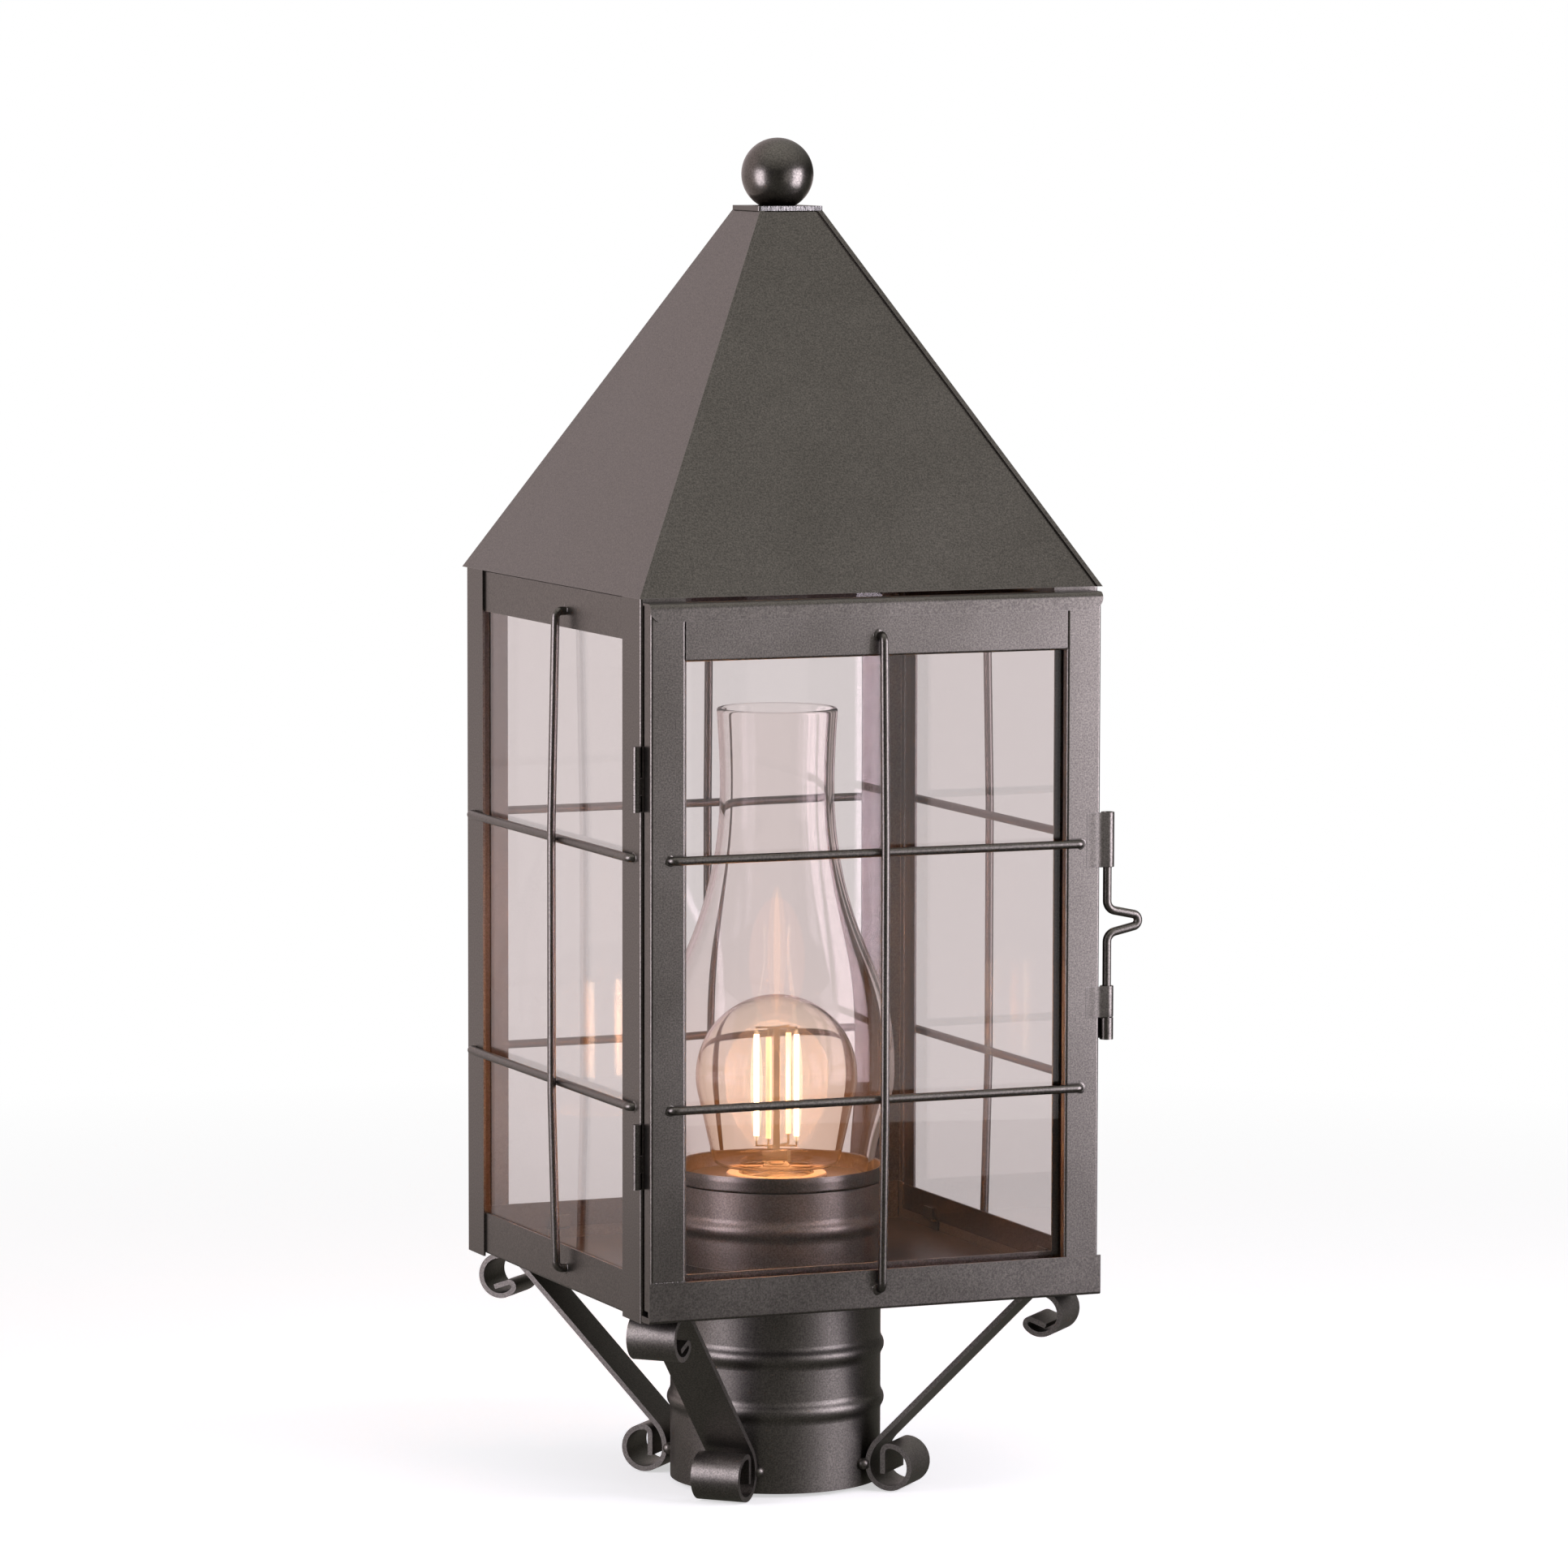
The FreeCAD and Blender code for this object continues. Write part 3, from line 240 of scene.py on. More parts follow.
def grid_faces(rows, columns, close_rows, close_columns):
    """Quads between neighbours of a grid of rows and columns, wrapped round where it closes."""
    r = np.arange(rows if close_rows else rows - 1)[:, None]
    c = np.arange(columns if close_columns else columns - 1)[None, :]
    below, beyond = (r + 1) % rows, (c + 1) % columns
    quads = np.stack(np.broadcast_arrays(r * columns + c, r * columns + beyond,
                                         below * columns + beyond, below * columns + c), -1)
    return quads.reshape(-1, 4)


def volume_sign(points, triangles):
    """Sign of the sum of a . (b x c) over the triangles: negative where the faces look inwards."""
    a, b, c = (points[triangles[:, i]] for i in range(3))
    return np.sign(np.einsum("ij,ij->i", a, np.cross(b, c)).sum())


def piece(name, points, faces, material, body, slot):
    """New mesh piece with outward faces, smooth shading, its finish and the body it rides on."""
    fans = np.concatenate([faces[:, [0, i, i + 1]] for i in range(1, faces.shape[1] - 1)])
    if volume_sign(points, fans) < 0:
        faces = faces[:, ::-1]
    mesh = bpy.data.meshes.new(name)
    rows = [[v for k, v in enumerate(face) if v != face[k - 1]] for face in faces.tolist()]
    mesh.from_pydata(points.tolist(), [], rows)
    mesh.polygons.foreach_set("use_smooth", np.ones(len(mesh.polygons), bool))
    mesh.materials.append(material)
    mesh.update()
    made = bpy.data.objects.new(name, mesh)
    bpy.context.scene.collection.objects.link(made)
    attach(made, body)
    return made


def skin(rows, close_rows=False, poles=False):
    """Points and faces of a grid (rows, columns, 3) that wraps round its columns.

    Poles make each end row one point.
    """
    count, columns = rows.shape[:2]
    points = rows.reshape(-1, 3)
    faces = grid_faces(count, columns, close_rows, True)
    if poles:
        last = len(points) - columns
        faces[faces < columns] = 0
        faces[faces >= last] = last
        used, faces = np.unique(faces, return_inverse=True)
        points, faces = points[used], faces.reshape(-1, 4)
    return points, faces


def joined(parts):
    """Several meshes as one."""
    shift = np.cumsum([0] + [len(points) for points, _ in parts[:-1]])
    return np.concatenate([points for points, _ in parts]), np.concatenate(
        [faces + first for (_, faces), first in zip(parts, shift)])


def lathe(profile, steps, closed, centre=(0.0, 0.0)):
    """Profile (radius, height) turned about an upright axis: x = r cos a, y = r sin a.

    A closed profile makes a ring. An open one starts and ends on the axis.
    """
    turn = np.linspace(0, 2 * math.pi, steps, endpoint=False)
    radius, height = profile[:, :1], profile[:, 1:]
    rows = np.stack((centre[0] + radius * np.cos(turn), centre[1] + radius * np.sin(turn),
                     np.broadcast_to(height, (len(profile), steps))), -1)
    return skin(rows, closed, not closed)


def lumps(seed, *fields, waves=6, fastest=9):
    """Sum of sines of the fields at random whole speeds and phases, within about -1 to 1."""
    random = np.random.default_rng(seed)
    total = 0
    for _ in range(waves):
        phase = random.uniform(0, 2 * math.pi)
        total = total + np.sin(sum(random.integers(1, fastest) * field for field in fields) + phase)
    return total / waves ** 0.5 / 1.6


def mound(at, out, across, radius, height, seed):
    """Low lump of solder on a face, highest in the middle, with an uneven foot.

    It stands about height (1 - t^2) at t of its radius, and its underside is in the face.
    """
    turn = np.linspace(0, 2 * math.pi, 28, endpoint=False)
    t = np.array((0, 0.3, 0.55, 0.75, 0.9, 1.0, 1.0, 0.0))[:, None]
    rise = np.array((1, 0.93, 0.75, 0.5, 0.24, 0.0, -0.3, -0.3))[:, None] * height
    spread = t * radius * (1 + 0.16 * lumps(seed, turn[None, :], fastest=5))
    out, across, at = (np.array(v, float) for v in (out, across, at))
    up = np.cross(out, across)
    round_way = np.cos(turn)[:, None] * across + np.sin(turn)[:, None] * up
    height_here = rise * (1 + 0.2 * lumps(seed + 1, turn[None, :], fastest=4) * t)
    rows = at + spread[..., None] * round_way + height_here[..., None] * out
    return skin(rows, poles=True)


def rough_bead(start, end, radius, seed):
    """Crumbly weld along a line: a round skin that closes at both ends.

    Its radius swings with the place along the line and with the turn about it.
    """
    s = np.linspace(0, 1, 140)[:, None]
    turn = np.linspace(0, 2 * math.pi, 10, endpoint=False)[None, :]
    start, end = np.array(start, float), np.array(end, float)
    along = (end - start) / np.linalg.norm(end - start)
    side = np.cross(along, (0.3, 1.0, 0.2))
    side /= np.linalg.norm(side)
    other = np.cross(along, side)
    swing = (0.6 + 0.4 * lumps(seed, s * 40, waves=5)
             + 0.2 * lumps(seed + 2, s * 25, turn, fastest=3))
    reach = radius * np.clip(swing, 0.12, 1.3) * np.clip(np.minimum(s, 1 - s) * 30, 0, 1)
    round_way = np.cos(turn)[..., None] * side + np.sin(turn)[..., None] * other
    rows = start + s[..., None] * (end - start) + reach[..., None] * round_way
    return skin(rows, poles=True)


def quarter(point, count):
    """Point of the front side carried to another side by quarter turns about the post."""
    x, y, z = point
    for _ in range(count):
        x, y = -y, x
    return (x, y, z)


def add(tree, kind, inputs=None, **settings):
    """Shader node of one kind. Its settings come first, then its inputs are linked or set."""
    made = tree.nodes.new(kind)
    for key, value in settings.items():
        setattr(made, key, value)
    for key, value in (inputs or {}).items():
        if isinstance(value, bpy.types.NodeSocket):
            tree.links.new(value, made.inputs[key])
        else:
            made.inputs[key].default_value = value
    return made


def blank(name):
    """Empty material and its node tree."""
    material = bpy.data.materials.new(name)
    material.use_nodes = True
    material.node_tree.nodes.clear()
    return material, material.node_tree


def show(tree, surface):
    """Joins a shader to the material's output."""
    add(tree, "ShaderNodeOutputMaterial", {"Surface": surface})


def ramp(tree, value, low, high, low_colour, high_colour):
    """Colour that goes from one to another as value goes from low to high."""
    share = add(tree, "ShaderNodeMapRange", {"Value": value, "From Min": low, "From Max": high})
    sockets = {"Factor": share.outputs["Result"], 6: (*low_colour, 1), 7: (*high_colour, 1)}
    return add(tree, "ShaderNodeMix", sockets, data_type="RGBA").outputs[2]


def scaled(tree, value, low, high, to_low, to_high):
    """Value carried from one range to another, and kept inside it."""
    sockets = {"Value": value, "From Min": low, "From Max": high,
               "To Min": to_low, "To Max": to_high}
    return add(tree, "ShaderNodeMapRange", sockets).outputs["Result"]


def noise(tree, place, scale, detail=2.0, roughness=0.5):
    """Cloudy pattern with so many cells to a metre."""
    sockets = {"Vector": place, "Scale": scale, "Detail": detail, "Roughness": roughness}
    return add(tree, "ShaderNodeTexNoise", sockets).outputs["Fac"]


def object_place(tree):
    """Object coordinates."""
    return add(tree, "ShaderNodeTexCoord").outputs["Object"]


def dot_product(tree, one, other):
    """Dot product of two vectors."""
    node = add(tree, "ShaderNodeVectorMath", {0: one, 1: other}, operation="DOT_PRODUCT")
    return node.outputs["Value"]


def bumped(tree, height, strength, distance, normal=None):
    """Normal that follows a height pattern, on top of another normal where one is given."""
    sockets = {"Height": height, "Strength": strength, "Distance": distance}
    if normal is not None:
        sockets["Normal"] = normal
    return add(tree, "ShaderNodeBump", sockets).outputs["Normal"]


def coat(tree, **sockets):
    """Principled shader joined to the material's output, with its sockets under their own names."""
    named = {key.replace("_", " "): value for key, value in sockets.items()}
    surface = add(tree, "ShaderNodeBsdfPrincipled", named)
    show(tree, surface.outputs[0])


def edge_share(tree, radius):
    """1 on sharp edges and 0 on flats: how far a rounded normal leaves the true one."""
    soft = add(tree, "ShaderNodeBevel", {"Radius": radius}, samples=4).outputs["Normal"]
    true = add(tree, "ShaderNodeNewGeometry").outputs["Normal"]
    return scaled(tree, dot_product(tree, soft, true), 0.99, 0.86, 0.0, 1.0)


def powder_coat(name, clouds, metallic, rough):
    """Satin powder coat over steel: fine grain, a little orange peel, and sharp edges made brighter
    by a painted highlight.
    """
    material, tree = blank(name)
    place = object_place(tree)
    cloud = noise(tree, place, 22.0, 4.0, 0.6)
    grain = noise(tree, place, 1700.0, 2.0, 0.6)
    colour = ramp(tree, cloud, 0.3, 0.7, *clouds)
    speck = ramp(tree, grain, 0.35, 0.75, (0.72, 0.72, 0.72), (1.45, 1.43, 1.4))
    toned = add(tree, "ShaderNodeMix", {"Factor": 1.0, 6: colour, 7: speck}, data_type="RGBA",
                blend_type="MULTIPLY")
    peel = noise(tree, place, 1100.0, 2.0, 0.55)
    # Sharp edges get a lighter colour: a painted highlight, not worn paint.
    coat(tree,
         Base_Color=chosen(tree, edge_share(tree, 0.0003), toned.outputs[2], EDGE_HIGHLIGHT),
         Metallic=metallic,
         Roughness=scaled(tree, cloud, 0.3, 0.7, rough - 0.04, rough + 0.05),
         Normal=bumped(tree, grain, 0.1, 0.00005, bumped(tree, peel, 0.06, 0.0002)))
    return material


def clear_glass(name, colour, ior, ripple=0.0, glow=None):
    """Clear glass that lets lamps through. Sheet glass has a faint ripple.

    A glow is painted light in the glass: a colour with the height where it is strongest and the
    height it fades over.
    """
    material, tree = blank(name)
    sockets = {"Base Color": (*colour, 1), "Roughness": 0.0, "IOR": ior,
               "Transmission Weight": 1.0}
    if ripple:
        wave = noise(tree, object_place(tree), 12.0, 1.0, 0.4)
        sockets["Normal"] = bumped(tree, wave, ripple, 0.001)
    if glow:
        glow_colour, strongest, reach = glow
        height = add(tree, "ShaderNodeSeparateXYZ", {0: object_place(tree)}).outputs["Z"]
        off = add(tree, "ShaderNodeMath", {0: height, 1: strongest}, operation="SUBTRACT")
        apart = add(tree, "ShaderNodeMath", {0: off.outputs[0]}, operation="ABSOLUTE")
        span = {"Value": apart.outputs[0], "From Min": 0.0, "From Max": reach,
                "To Min": 1.0, "To Max": 0.0}
        fade = add(tree, "ShaderNodeMapRange", span, interpolation_type="SMOOTHSTEP")
        sockets["Emission Color"] = (*glow_colour, 1)
        sockets["Emission Strength"] = fade.outputs["Result"]
    glass = add(tree, "ShaderNodeBsdfPrincipled", sockets)
    through = add(tree, "ShaderNodeBsdfTransparent", {"Color": (*colour, 1)})
    lamp_ray = add(tree, "ShaderNodeLightPath").outputs["Is Shadow Ray"]
    mixed = add(tree, "ShaderNodeMixShader",
                {0: lamp_ray, 1: glass.outputs[0], 2: through.outputs[0]})
    show(tree, mixed.outputs[0])
    return material


def sawn_plate(name, rim):
    """Painted plate whose front edge was cut after painting.

    That edge is dark zinc with upright saw marks and bright flecks.
    """
    material, tree = blank(name)
    place = object_place(tree)
    depth = add(tree, "ShaderNodeSeparateXYZ", {0: place}).outputs["Y"]
    bare = scaled(tree, depth, rim + 0.0003, rim + 0.0001, 0.0, 1.0)
    stretched = add(tree, "ShaderNodeMapping", {"Vector": place, "Scale": (3.0, 1.0, 0.5)})
    marks = noise(tree, stretched.outputs["Vector"], 900.0, 4.0, 0.7)
    cloud = noise(tree, place, 160.0, 3.0, 0.6)
    zinc = ramp(tree, marks, 0.42, 0.68, (0.05, 0.052, 0.05), (0.4, 0.39, 0.38))
    paint = ramp(tree, cloud, 0.3, 0.7, (0.115, 0.108, 0.1), (0.15, 0.141, 0.13))
    coat(tree,
         Base_Color=chosen(tree, bare, paint, zinc),
         Metallic=1.0,
         Roughness=scaled(tree, cloud, 0.3, 0.7, 0.3, 0.42),
         Normal=bumped(tree, marks, scaled(tree, bare, 0.0, 1.0, 0.05, 0.5), 0.0002))
    return material


def plain_metal(name, dark, light, rough, grain_scale=400.0, strength=0.15):
    """Bare metal with a drawn or cast grain."""
    material, tree = blank(name)
    grain = noise(tree, object_place(tree), grain_scale, 4.0, 0.6)
    coat(tree,
         Base_Color=ramp(tree, grain, 0.3, 0.7, dark, light),
         Metallic=1.0,
         Roughness=scaled(tree, grain, 0.3, 0.7, rough - 0.06, rough + 0.08),
         Normal=bumped(tree, grain, strength, 0.0001))
    return material


def glazed(name, colour):
    """Glazed ceramic."""
    material, tree = blank(name)
    wave = noise(tree, object_place(tree), 120.0, 2.0, 0.5)
    coat(tree,
         Base_Color=ramp(tree, wave, 0.3, 0.7, colour, [0.92 * c for c in colour]),
         Roughness=scaled(tree, wave, 0.3, 0.7, 0.12, 0.2),
         Normal=bumped(tree, wave, 0.1, 0.0003))
    return material


def lit_filament(name):
    """Phosphor coat of lit filaments. Two of them, on opposite sides, are the bright ones."""
    material, tree = blank(name)
    place = object_place(tree)
    grain = noise(tree, place, 900.0, 2.0, 0.5)
    turn = math.radians(BRIGHT_TURNS[0])
    aside = dot_product(tree, place, (math.cos(turn), math.sin(turn), 0))
    reach = add(tree, "ShaderNodeMath", {0: aside}, operation="ABSOLUTE").outputs[0]
    coat(tree,
         Base_Color=(1.0, 0.7, 0.35, 1),
         Roughness=scaled(tree, grain, 0.3, 0.7, 0.5, 0.7),
         Emission_Color=ramp(tree, grain, 0.3, 0.7, (1.0, 0.86, 0.66), (1.0, 0.92, 0.78)),
         Emission_Strength=scaled(tree, reach, 0.0055, 0.0062, 0.6, 6.0))
    return material


def make_finishes():
    """One finish for each slot of the record, and one for each node that differs from its slot or
    gets a lit copy of its paint.
    """
    # Brackets and fitter tube: the same powder coat, rougher and lighter. The lighter colour is a
    # painted highlight.
    strap = powder_coat("strap_lit_coat", STRAP_LIT_PAINT, 1.0, 0.42)
    # Floor and rails inside: a copy of the paint with some matt colour so that the bulb lights them
    # more, which is painted light.
    inside = powder_coat("inside_lit_coat", PAINT, 0.92, 0.32)
    brackets = ("scroll_bracket_front_left", "scroll_bracket_front_right",
                "scroll_bracket_back_left", "scroll_bracket_back_right")
    return {
        **{name: strap for name in (*brackets, "fitter_tube")},
        **{name: inside for name in ("floor_plate", "base_rail_back", "base_rail_right")},
        "paint": powder_coat("powder_coat", PAINT, 1.0, 0.32),
        "finial_ball": powder_coat("smooth_coat", PAINT, 1.0, 0.27),
        "solder": powder_coat(
            "coated_solder", ((0.1, 0.094, 0.087), (0.15, 0.141, 0.13)), 1.0, 0.3),
        "cap_plate": sawn_plate("sawn_cap_plate", -CAP_HALF),
        # The glows in the stem, chimney and bulb glass are painted light: the lit bulb's halo put
        # into the glass, strongest near the filaments.
        "bulb_stem": clear_glass(
            "stem_glass", (0.99, 0.97, 0.94), 1.12, glow=((0.12, 0.07, 0.035), 0.14, 0.06)),
        "pane_glass": clear_glass("pane_glass", (0.83, 0.79, 0.79), 1.5, ripple=0.004),
        "chimney_glass": clear_glass(
            "chimney_glass", (0.98, 0.95, 0.94), 1.18, glow=((0.018, 0.006, 0.001), 0.132, 0.075)),
        "bulb_glass": clear_glass(
            "bulb_glass", (0.99, 0.94, 0.875), 1.2, glow=((0.03, 0.011, 0.003), 0.138, 0.05)),
        "filament": lit_filament("filament"),
        "ceramic": glazed("ceramic_glaze", (0.3, 0.26, 0.21)),
        "brass": plain_metal("brass", (0.55, 0.38, 0.16), (0.68, 0.5, 0.24), 0.3),
        "bulb_cap": plain_metal("bulb_cap_metal", (0.6, 0.58, 0.55), (0.72, 0.7, 0.68), 0.32),
        "zinc": plain_metal("raw_zinc", (0.42, 0.41, 0.4), (0.62, 0.61, 0.6), 0.45, 500.0, 0.3),
    }


def chimney_piece(glass):
    """Blown chimney: a smooth curve turned about the axis, and a second one a wall further in.

    Half circles join the two at the fire-polished rim and foot.
    """
    outer, heads = smooth_through([(r, SEAT_Z + h) for r, h in CHIMNEY_LEVELS], 180)
    inner = beside(outer, heads, CHIMNEY_WALL)
    rim = rounded_end(outer[-1], inner[-1], heads[-1])
    foot = rounded_end(inner[0], outer[0], heads[0] + math.pi)
    profile = np.concatenate((outer, rim, inner[::-1], foot))
    made = piece("chimney_glass", *lathe(profile, 192, True), glass, "lantern", "chimney_glass")
    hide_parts("chimney")


def bulb_piece(glass):
    """Blown bulb: a globe, a tapering flank and a neck tucked into the cap, turned about the axis.

    A second skin lies a wall further in, and a half circle joins the two in the neck.
    """
    outer, heads = trace((0, BULB_Z + BULB_HEIGHT), 0, BULB_MOVES)
    inner = beside(outer, heads, -BULB_WALL)
    inner[0, 0] = 0
    edge = rounded_end(outer[-1], inner[-1], heads[-1], 5)
    profile = np.concatenate((outer, edge, inner[::-1]))
    made = piece("bulb_envelope", *lathe(profile, 160, False), glass, "lantern", "bulb_glass")
    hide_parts("bulb_glass")


def glow_finish(name, colour, share):
    """Almost clear skin that adds a little light of its own."""
    material, tree = blank(name)
    coat(tree,
         Base_Color=(0, 0, 0, 1),
         Roughness=1.0,
         Specular_IOR_Level=0.0,
         Alpha=GLOW_ALPHA,
         Emission_Color=(*colour, 1),
         Emission_Strength=share / GLOW_ALPHA)
    return material


def oval(across, up, count=25):
    """Half outline (radius, height) of an ellipsoid, from its foot to its top."""
    turn = np.linspace(-math.pi / 2, math.pi / 2, count)
    outline = np.stack((across * np.cos(turn), up * np.sin(turn)), 1)
    outline[[0, -1], 0] = 0
    return outline


def glow_skin(name, finish, across, up, middle, steps, at=(0.0, 0.0)):
    """Glowing ellipsoid about an upright axis, with its middle at one height."""
    profile = oval(across, up) + np.array((0, middle))
    piece(name, *lathe(profile, steps, False, at), finish, "lantern", "filament")


def bulb_glow():
    """Painted glow: a skin round each filament and two round all four, and a streak above the bulb
    that is a painted reflection of the filaments in the chimney.
    """
    bright = glow_finish("filament_glow", (1.0, 0.8, 0.5), 0.3)
    faint = glow_finish("filament_glow_faint", (1.0, 0.75, 0.42), 0.04)
    for k, angle in enumerate(FILAMENT_TURNS):
        across, finish = (0.0023, bright) if angle in BRIGHT_TURNS else (0.0014, faint)
        turn = math.radians(angle)
        at = (FILAMENT_RING * math.cos(turn), FILAMENT_RING * math.sin(turn))
        glow_skin(f"filament_glow_{k + 1}", finish, across, 0.0212, FILAMENT_Z, 32, at)
    for name, across, up, middle, steps, colour, share in (
            ("bulb_glow_inner", 0.0125, 0.0245, FILAMENT_Z, 64, (1.0, 0.8, 0.55), 0.045),
            ("bulb_glow_outer", 0.0195, 0.027, FILAMENT_Z, 64, (1.0, 0.62, 0.45), 0.04),
            # Painted reflection of the filaments in the chimney: three glowing skins above the
            # bulb.
            ("chimney_streak_core", 0.0013, 0.0225, STREAK_Z, 48, (1.0, 0.5, 0.18), 0.07),
            ("chimney_streak", 0.0034, 0.0245, STREAK_Z, 48, (1.0, 0.45, 0.15), 0.04),
            ("chimney_streak_halo", 0.0105, 0.0242, STREAK_Z - 0.004, 48,
             (1.0, 0.35, 0.15), 0.035)):
        glow_skin(name, glow_finish(name, colour, share), across, up, middle, steps)


def solder_pieces(finish):
    """Lumps of solder where the guard wires enter the sheet, and two crumbly welds on the door."""
    body_parts, door_parts = [], []
    for count, rung_shift, bar_shift in ((1, 0.0, 0.0145), (2, 0.0, -0.01), (3, 0.0006, 0.0132)):
        out, across = quarter((0, -1, 0), count), quarter((1, 0, 0), count)
        ends = [(rung_shift + side * SIDE_RUNG_END, -BODY_HALF, level)
                for side in (-1, 1) for level in RUNG_LEVELS]
        ends += [(bar_shift, SHEET - BODY_HALF, level) for level in BAR_ENDS]
        body_parts += [mound(quarter(at, count), out, across, LUMP_R, LUMP_RISE, 10 * count + k)
                       for k, at in enumerate(ends)]
    door_ends = [(x, DOOR_FACE, level) for x in DOOR_RUNG_ENDS for level in RUNG_LEVELS]
    door_ends.append((DOOR_BAR_X, DOOR_FACE - SHEET, BAR_ENDS[0]))
    door_ends.append((DOOR_BAR_X, DOOR_FACE, DOOR_BAR_TOP))
    door_parts += [mound(at, (0, -1, 0), (1, 0, 0), LUMP_R, LUMP_RISE, 50 + k)
                   for k, at in enumerate(door_ends)]
    foot, head = DOOR_FACE - 0.0002, DOOR_FACE - 0.0001
    door_parts.append(rough_bead((-0.0888, foot, 0.0932), (-0.0757, foot, 0.0932), 0.00042, 81))
    door_parts.append(rough_bead((-0.0756, head, 0.3168), (-0.0756, head, 0.3308), 0.00032, 83))
    piece("solder_on_body", *joined(body_parts), finish, "lantern", "paint")
    piece("solder_on_door", *joined(door_parts), finish, "door", "paint")


def rod_guide(name, low, height, finish):
    """Guide of the latch rod: a strip that rises from the stile and curls round the rod.

    Its plan is a pair of curves carried straight up. The outer one runs through the solder
    fillet, up the slope and round the curl. The inner one follows the stile's face, and then
    the curl a wall further in. The plan shrinks a little at both ends.
    """
    turn = np.radians(np.linspace(-GUIDE_SLOPE, GUIDE_TURN, 80))
    curl = np.stack((np.sin(turn), -np.cos(turn)), 1)
    touch = np.array((ROD_X, ROD_Y)) + GUIDE_R * curl[0]
    fall = math.tan(math.radians(GUIDE_SLOPE))
    slope = [touch - np.array((back, -fall * back)) for back in GUIDE_BACKS]
    outer, _ = smooth_through([*GUIDE_FILLET, *slope], 60)
    inner = np.stack((outer[:, 0], np.full(60, DOOR_FACE)), 1)
    outer = np.concatenate((outer[:-1], (ROD_X, ROD_Y) + GUIDE_R * curl))
    inner = np.concatenate((inner[:-1], (ROD_X, ROD_Y) + (GUIDE_R - SHEET) * curl))
    ring = np.concatenate((outer, inner[::-1]))
    middle = np.concatenate(((outer + inner) / 2, ((outer + inner) / 2)[::-1]))
    rims = np.array((0, 0.0001, 0.0003))
    levels = low + np.concatenate((rims, (0.3 * height, 0.6 * height), height - rims[::-1]))
    share = np.array((0.75, 0.93, 1, 1, 1, 1, 0.93, 0.75))[:, None, None]
    plan = middle + share * (ring - middle)
    rows = np.concatenate((plan, np.broadcast_to(levels[:, None, None], (8, len(ring), 1))), 2)
    points, faces = skin(rows)
    half, count = len(outer), len(ring)
    k = np.arange(half - 1)
    cap = np.stack((k, k + 1, count - 2 - k, count - 1 - k), 1)
    faces = np.concatenate((faces, cap[:, ::-1], cap + 7 * count))
    made = piece(name + "_curl", points, faces, finish, "door", "paint")
    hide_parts(name)


def slot_of(node):
    """Slot of the record that a CAD node belongs to."""
    groups = {
        "pane_glass": ("pane_left", "pane_right", "pane_back", "door_pane"),
        "chimney_glass": ("chimney",),
        "bulb_glass": ("bulb_glass", "bulb_stem"),
        "filament": ("bulb_filaments",),
        "ceramic": ("lampholder_body",),
        "brass": ("lampholder_shell", "lampholder_contact", "lampholder_ring"),
        "bulb_cap": ("bulb_cap",),
        "zinc": ("cap_plate", "finial_stud", "finial_nut"),
    }
    for slot, names in groups.items():
        if node in names:
            return slot
    return "paint"


def dress_nodes(finishes):
    """Puts the finish of its slot on every CAD node."""
    for name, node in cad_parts.items():
        node.data.materials.clear()
        node.data.materials.append(finishes.get(name) or finishes[slot_of(name)])


def lamp(name, turn, reach, size, radiance, colour):
    """Upright soft box at a turn about the post and a reach from it, facing it."""
    data = bpy.data.lights.new(name, "AREA")
    data.shape = "RECTANGLE"
    data.size, data.size_y = size
    data.energy = radiance * math.pi * size[0] * size[1]
    data.color = colour
    away = Vector((math.sin(math.radians(turn)), -math.cos(math.radians(turn)), 0))
    light = bpy.data.objects.new(name, data)
    light.location = Vector((0, 0, LAMP_Z)) + away * reach
    light.rotation_mode = "QUATERNION"
    light.rotation_quaternion = away.to_track_quat("Z", "Y")
    bpy.context.scene.collection.objects.link(light)


def studio_lamps():
    """Two soft boxes beside the camera, a weak one between them, and the warm light of the bulb."""
    lamp("left_box", -81, 0.85, (0.42, 0.62), 6.5, LAMP_TINT)
    lamp("right_box", 46, 0.8, (0.46, 0.64), 7.2, LAMP_TINT)
    lamp("front_fill", 14, 1.1, (0.5, 0.7), 0.65, (1.0, 0.95, 0.97))
    data = bpy.data.lights.new("bulb_light", "POINT")
    data.energy = BULB_POWER
    data.color = BULB_COLOUR
    data.shadow_soft_size = BULB_SOFTNESS
    light = bpy.data.objects.new("bulb_light", data)
    light.location = (0, 0, FILAMENT_Z)
    light.visible_camera = False
    light.visible_transmission = False
    bpy.context.scene.collection.objects.link(light)


def white_share(tree):
    """Which rays see the white background, straight or through glass, and which are mirrored."""
    path = add(tree, "ShaderNodeLightPath").outputs
    mirrored = scaled(tree, path["Glossy Depth"], 0.0, 1.0, 0.0, 1.0)
    unbent = add(tree, "ShaderNodeMath", {0: path["Is Camera Ray"], 1: path["Is Transmission Ray"]},
                 operation="MAXIMUM").outputs[0]
    seen = add(tree, "ShaderNodeMath", {0: unbent, 1: mirrored},
               operation="SUBTRACT", use_clamp=True)
    return seen.outputs[0], mirrored


def depth_share(tree, place, low, high):
    """From 0 in front of the lantern to 1 behind it, on its left side first."""
    turn = math.radians(BACKDROP_TURN)
    away = (math.sin(turn), -math.cos(turn), 0)
    return scaled(tree, dot_product(tree, place, away), low, high, 0.0, 1.0)


def chosen(tree, share, low, high):
    """Colour that goes from low to high with share."""
    sockets = {"Factor": share, 6: low, 7: high}
    return add(tree, "ShaderNodeMix", sockets, data_type="RGBA").outputs[2]


def grey(level):
    """The same level in all three colours."""
    return (level, level, level, 1)


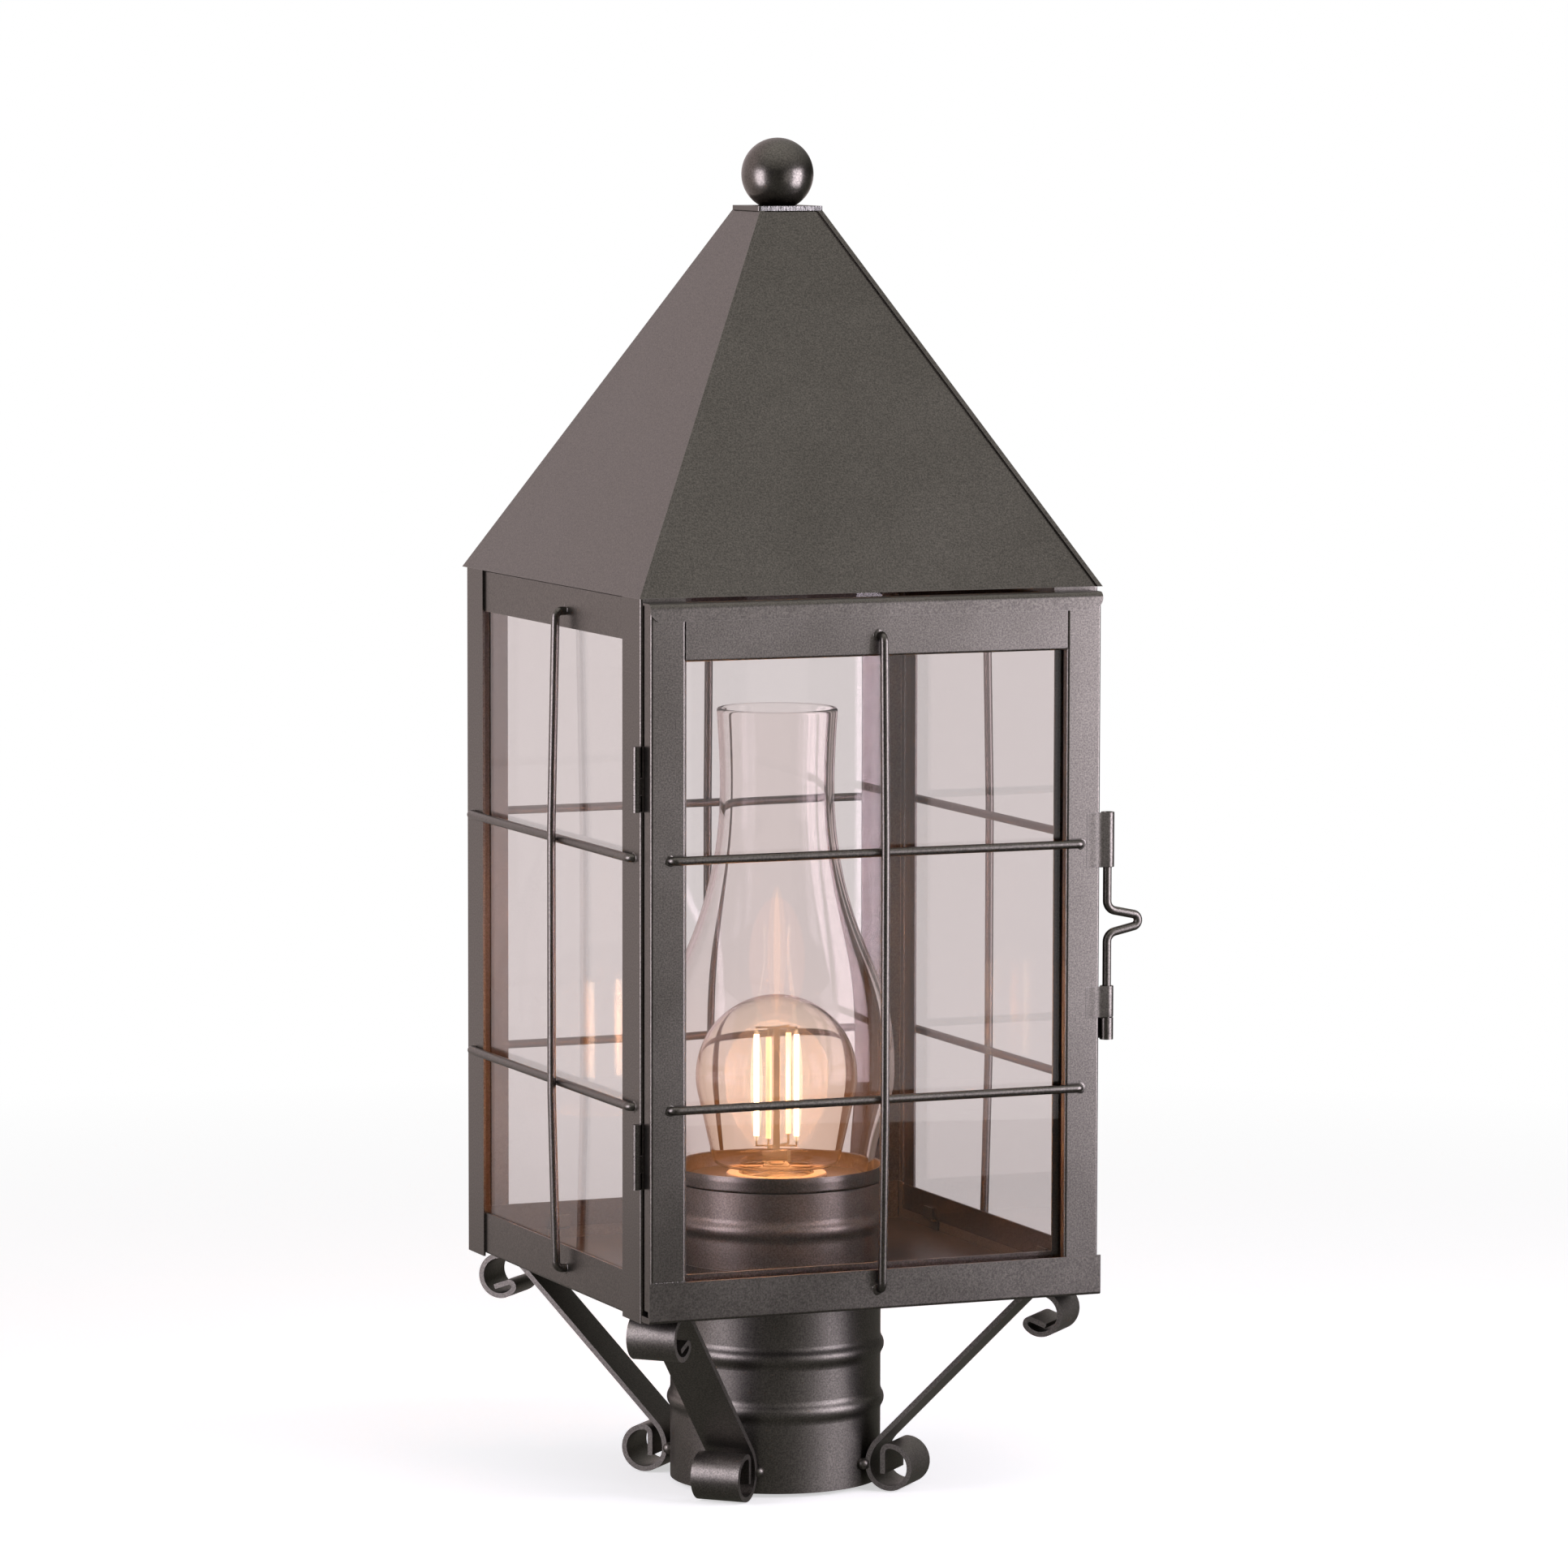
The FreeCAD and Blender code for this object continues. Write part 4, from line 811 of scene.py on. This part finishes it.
def white_world():
    """White to the camera and through glass.

    Reflections see pink white behind, and a dim front that brightens with height.
    """
    world = bpy.data.worlds.new("studio")
    world.use_nodes = True
    tree = world.node_tree
    tree.nodes.clear()
    seen, mirrored = white_share(tree)
    direction = add(tree, "ShaderNodeTexCoord").outputs["Generated"]
    height = add(tree, "ShaderNodeSeparateXYZ", {0: direction}).outputs["Z"]
    front = chosen(tree, scaled(tree, height, 0.17, 1.05, 0.0, 1.0), FRONT_LOW, FRONT_HIGH)
    mirror_light = chosen(tree, depth_share(tree, direction, 0.2, 0.8), front, BACKDROP_LIGHT)
    soft_light = chosen(tree, mirrored, grey(0.32), mirror_light)
    sky = chosen(tree, seen, soft_light, grey(1))
    back = add(tree, "ShaderNodeBackground", {"Color": sky, "Strength": 1.0})
    add(tree, "ShaderNodeOutputWorld", {"Surface": back.outputs[0]})
    bpy.context.scene.world = world


def pale_floor(level):
    """Plain pale floor. It keeps the shadow near the lantern and turns white further out."""
    material, tree = blank("floor")
    place = object_place(tree)
    seen, mirrored = white_share(tree)
    reach = add(tree, "ShaderNodeVectorMath", {0: place}, operation="LENGTH").outputs["Value"]
    far = scaled(tree, reach, 0.35, 1.1, 0.0, 1.0)
    white_lift = chosen(tree, far, grey(0.55), grey(1))
    mirror_lift = chosen(tree, depth_share(tree, place, 0.0, 1.0), FLOOR_FRONT, FLOOR_BACK)
    dim_lift = chosen(tree, mirrored, grey(0), mirror_lift)
    lift_colour = chosen(tree, seen, dim_lift, white_lift)
    lift = add(tree, "ShaderNodeEmission", {"Color": lift_colour, "Strength": 1.0})
    mirror_tone = chosen(tree, mirrored, grey(0.8), grey(0.04))
    tone = chosen(tree, seen, mirror_tone, chosen(tree, far, grey(0.8), grey(0)))
    matte = add(tree, "ShaderNodeBsdfDiffuse", {"Color": tone})
    both = add(tree, "ShaderNodeAddShader", {0: matte.outputs[0], 1: lift.outputs[0]})
    show(tree, both.outputs[0])
    mesh = bpy.data.meshes.new("floor")
    corners = [(x * FLOOR_REACH, y * FLOOR_REACH, level)
               for x, y in ((-1, -1), (1, -1), (1, 1), (-1, 1))]
    mesh.from_pydata(corners, [], [(0, 1, 2, 3)])
    mesh.materials.append(material)
    floor = bpy.data.objects.new("floor", mesh)
    bpy.context.scene.collection.objects.link(floor)


def main():
    """Camera, finishes, the new pieces, the light and the floor."""
    place_camera()
    finishes = make_finishes()
    dress_nodes(finishes)
    chimney_piece(finishes["chimney_glass"])
    bulb_piece(finishes["bulb_glass"])
    bulb_glow()
    solder_pieces(finishes["solder"])
    for name, low, height in GUIDES:
        rod_guide(name, low, height, finishes["paint"])
    white_world()
    studio_lamps()
    pale_floor(cad_box[0].z - FLOOR_GAP)
    bpy.context.scene.view_settings.view_transform = "Standard"


main()
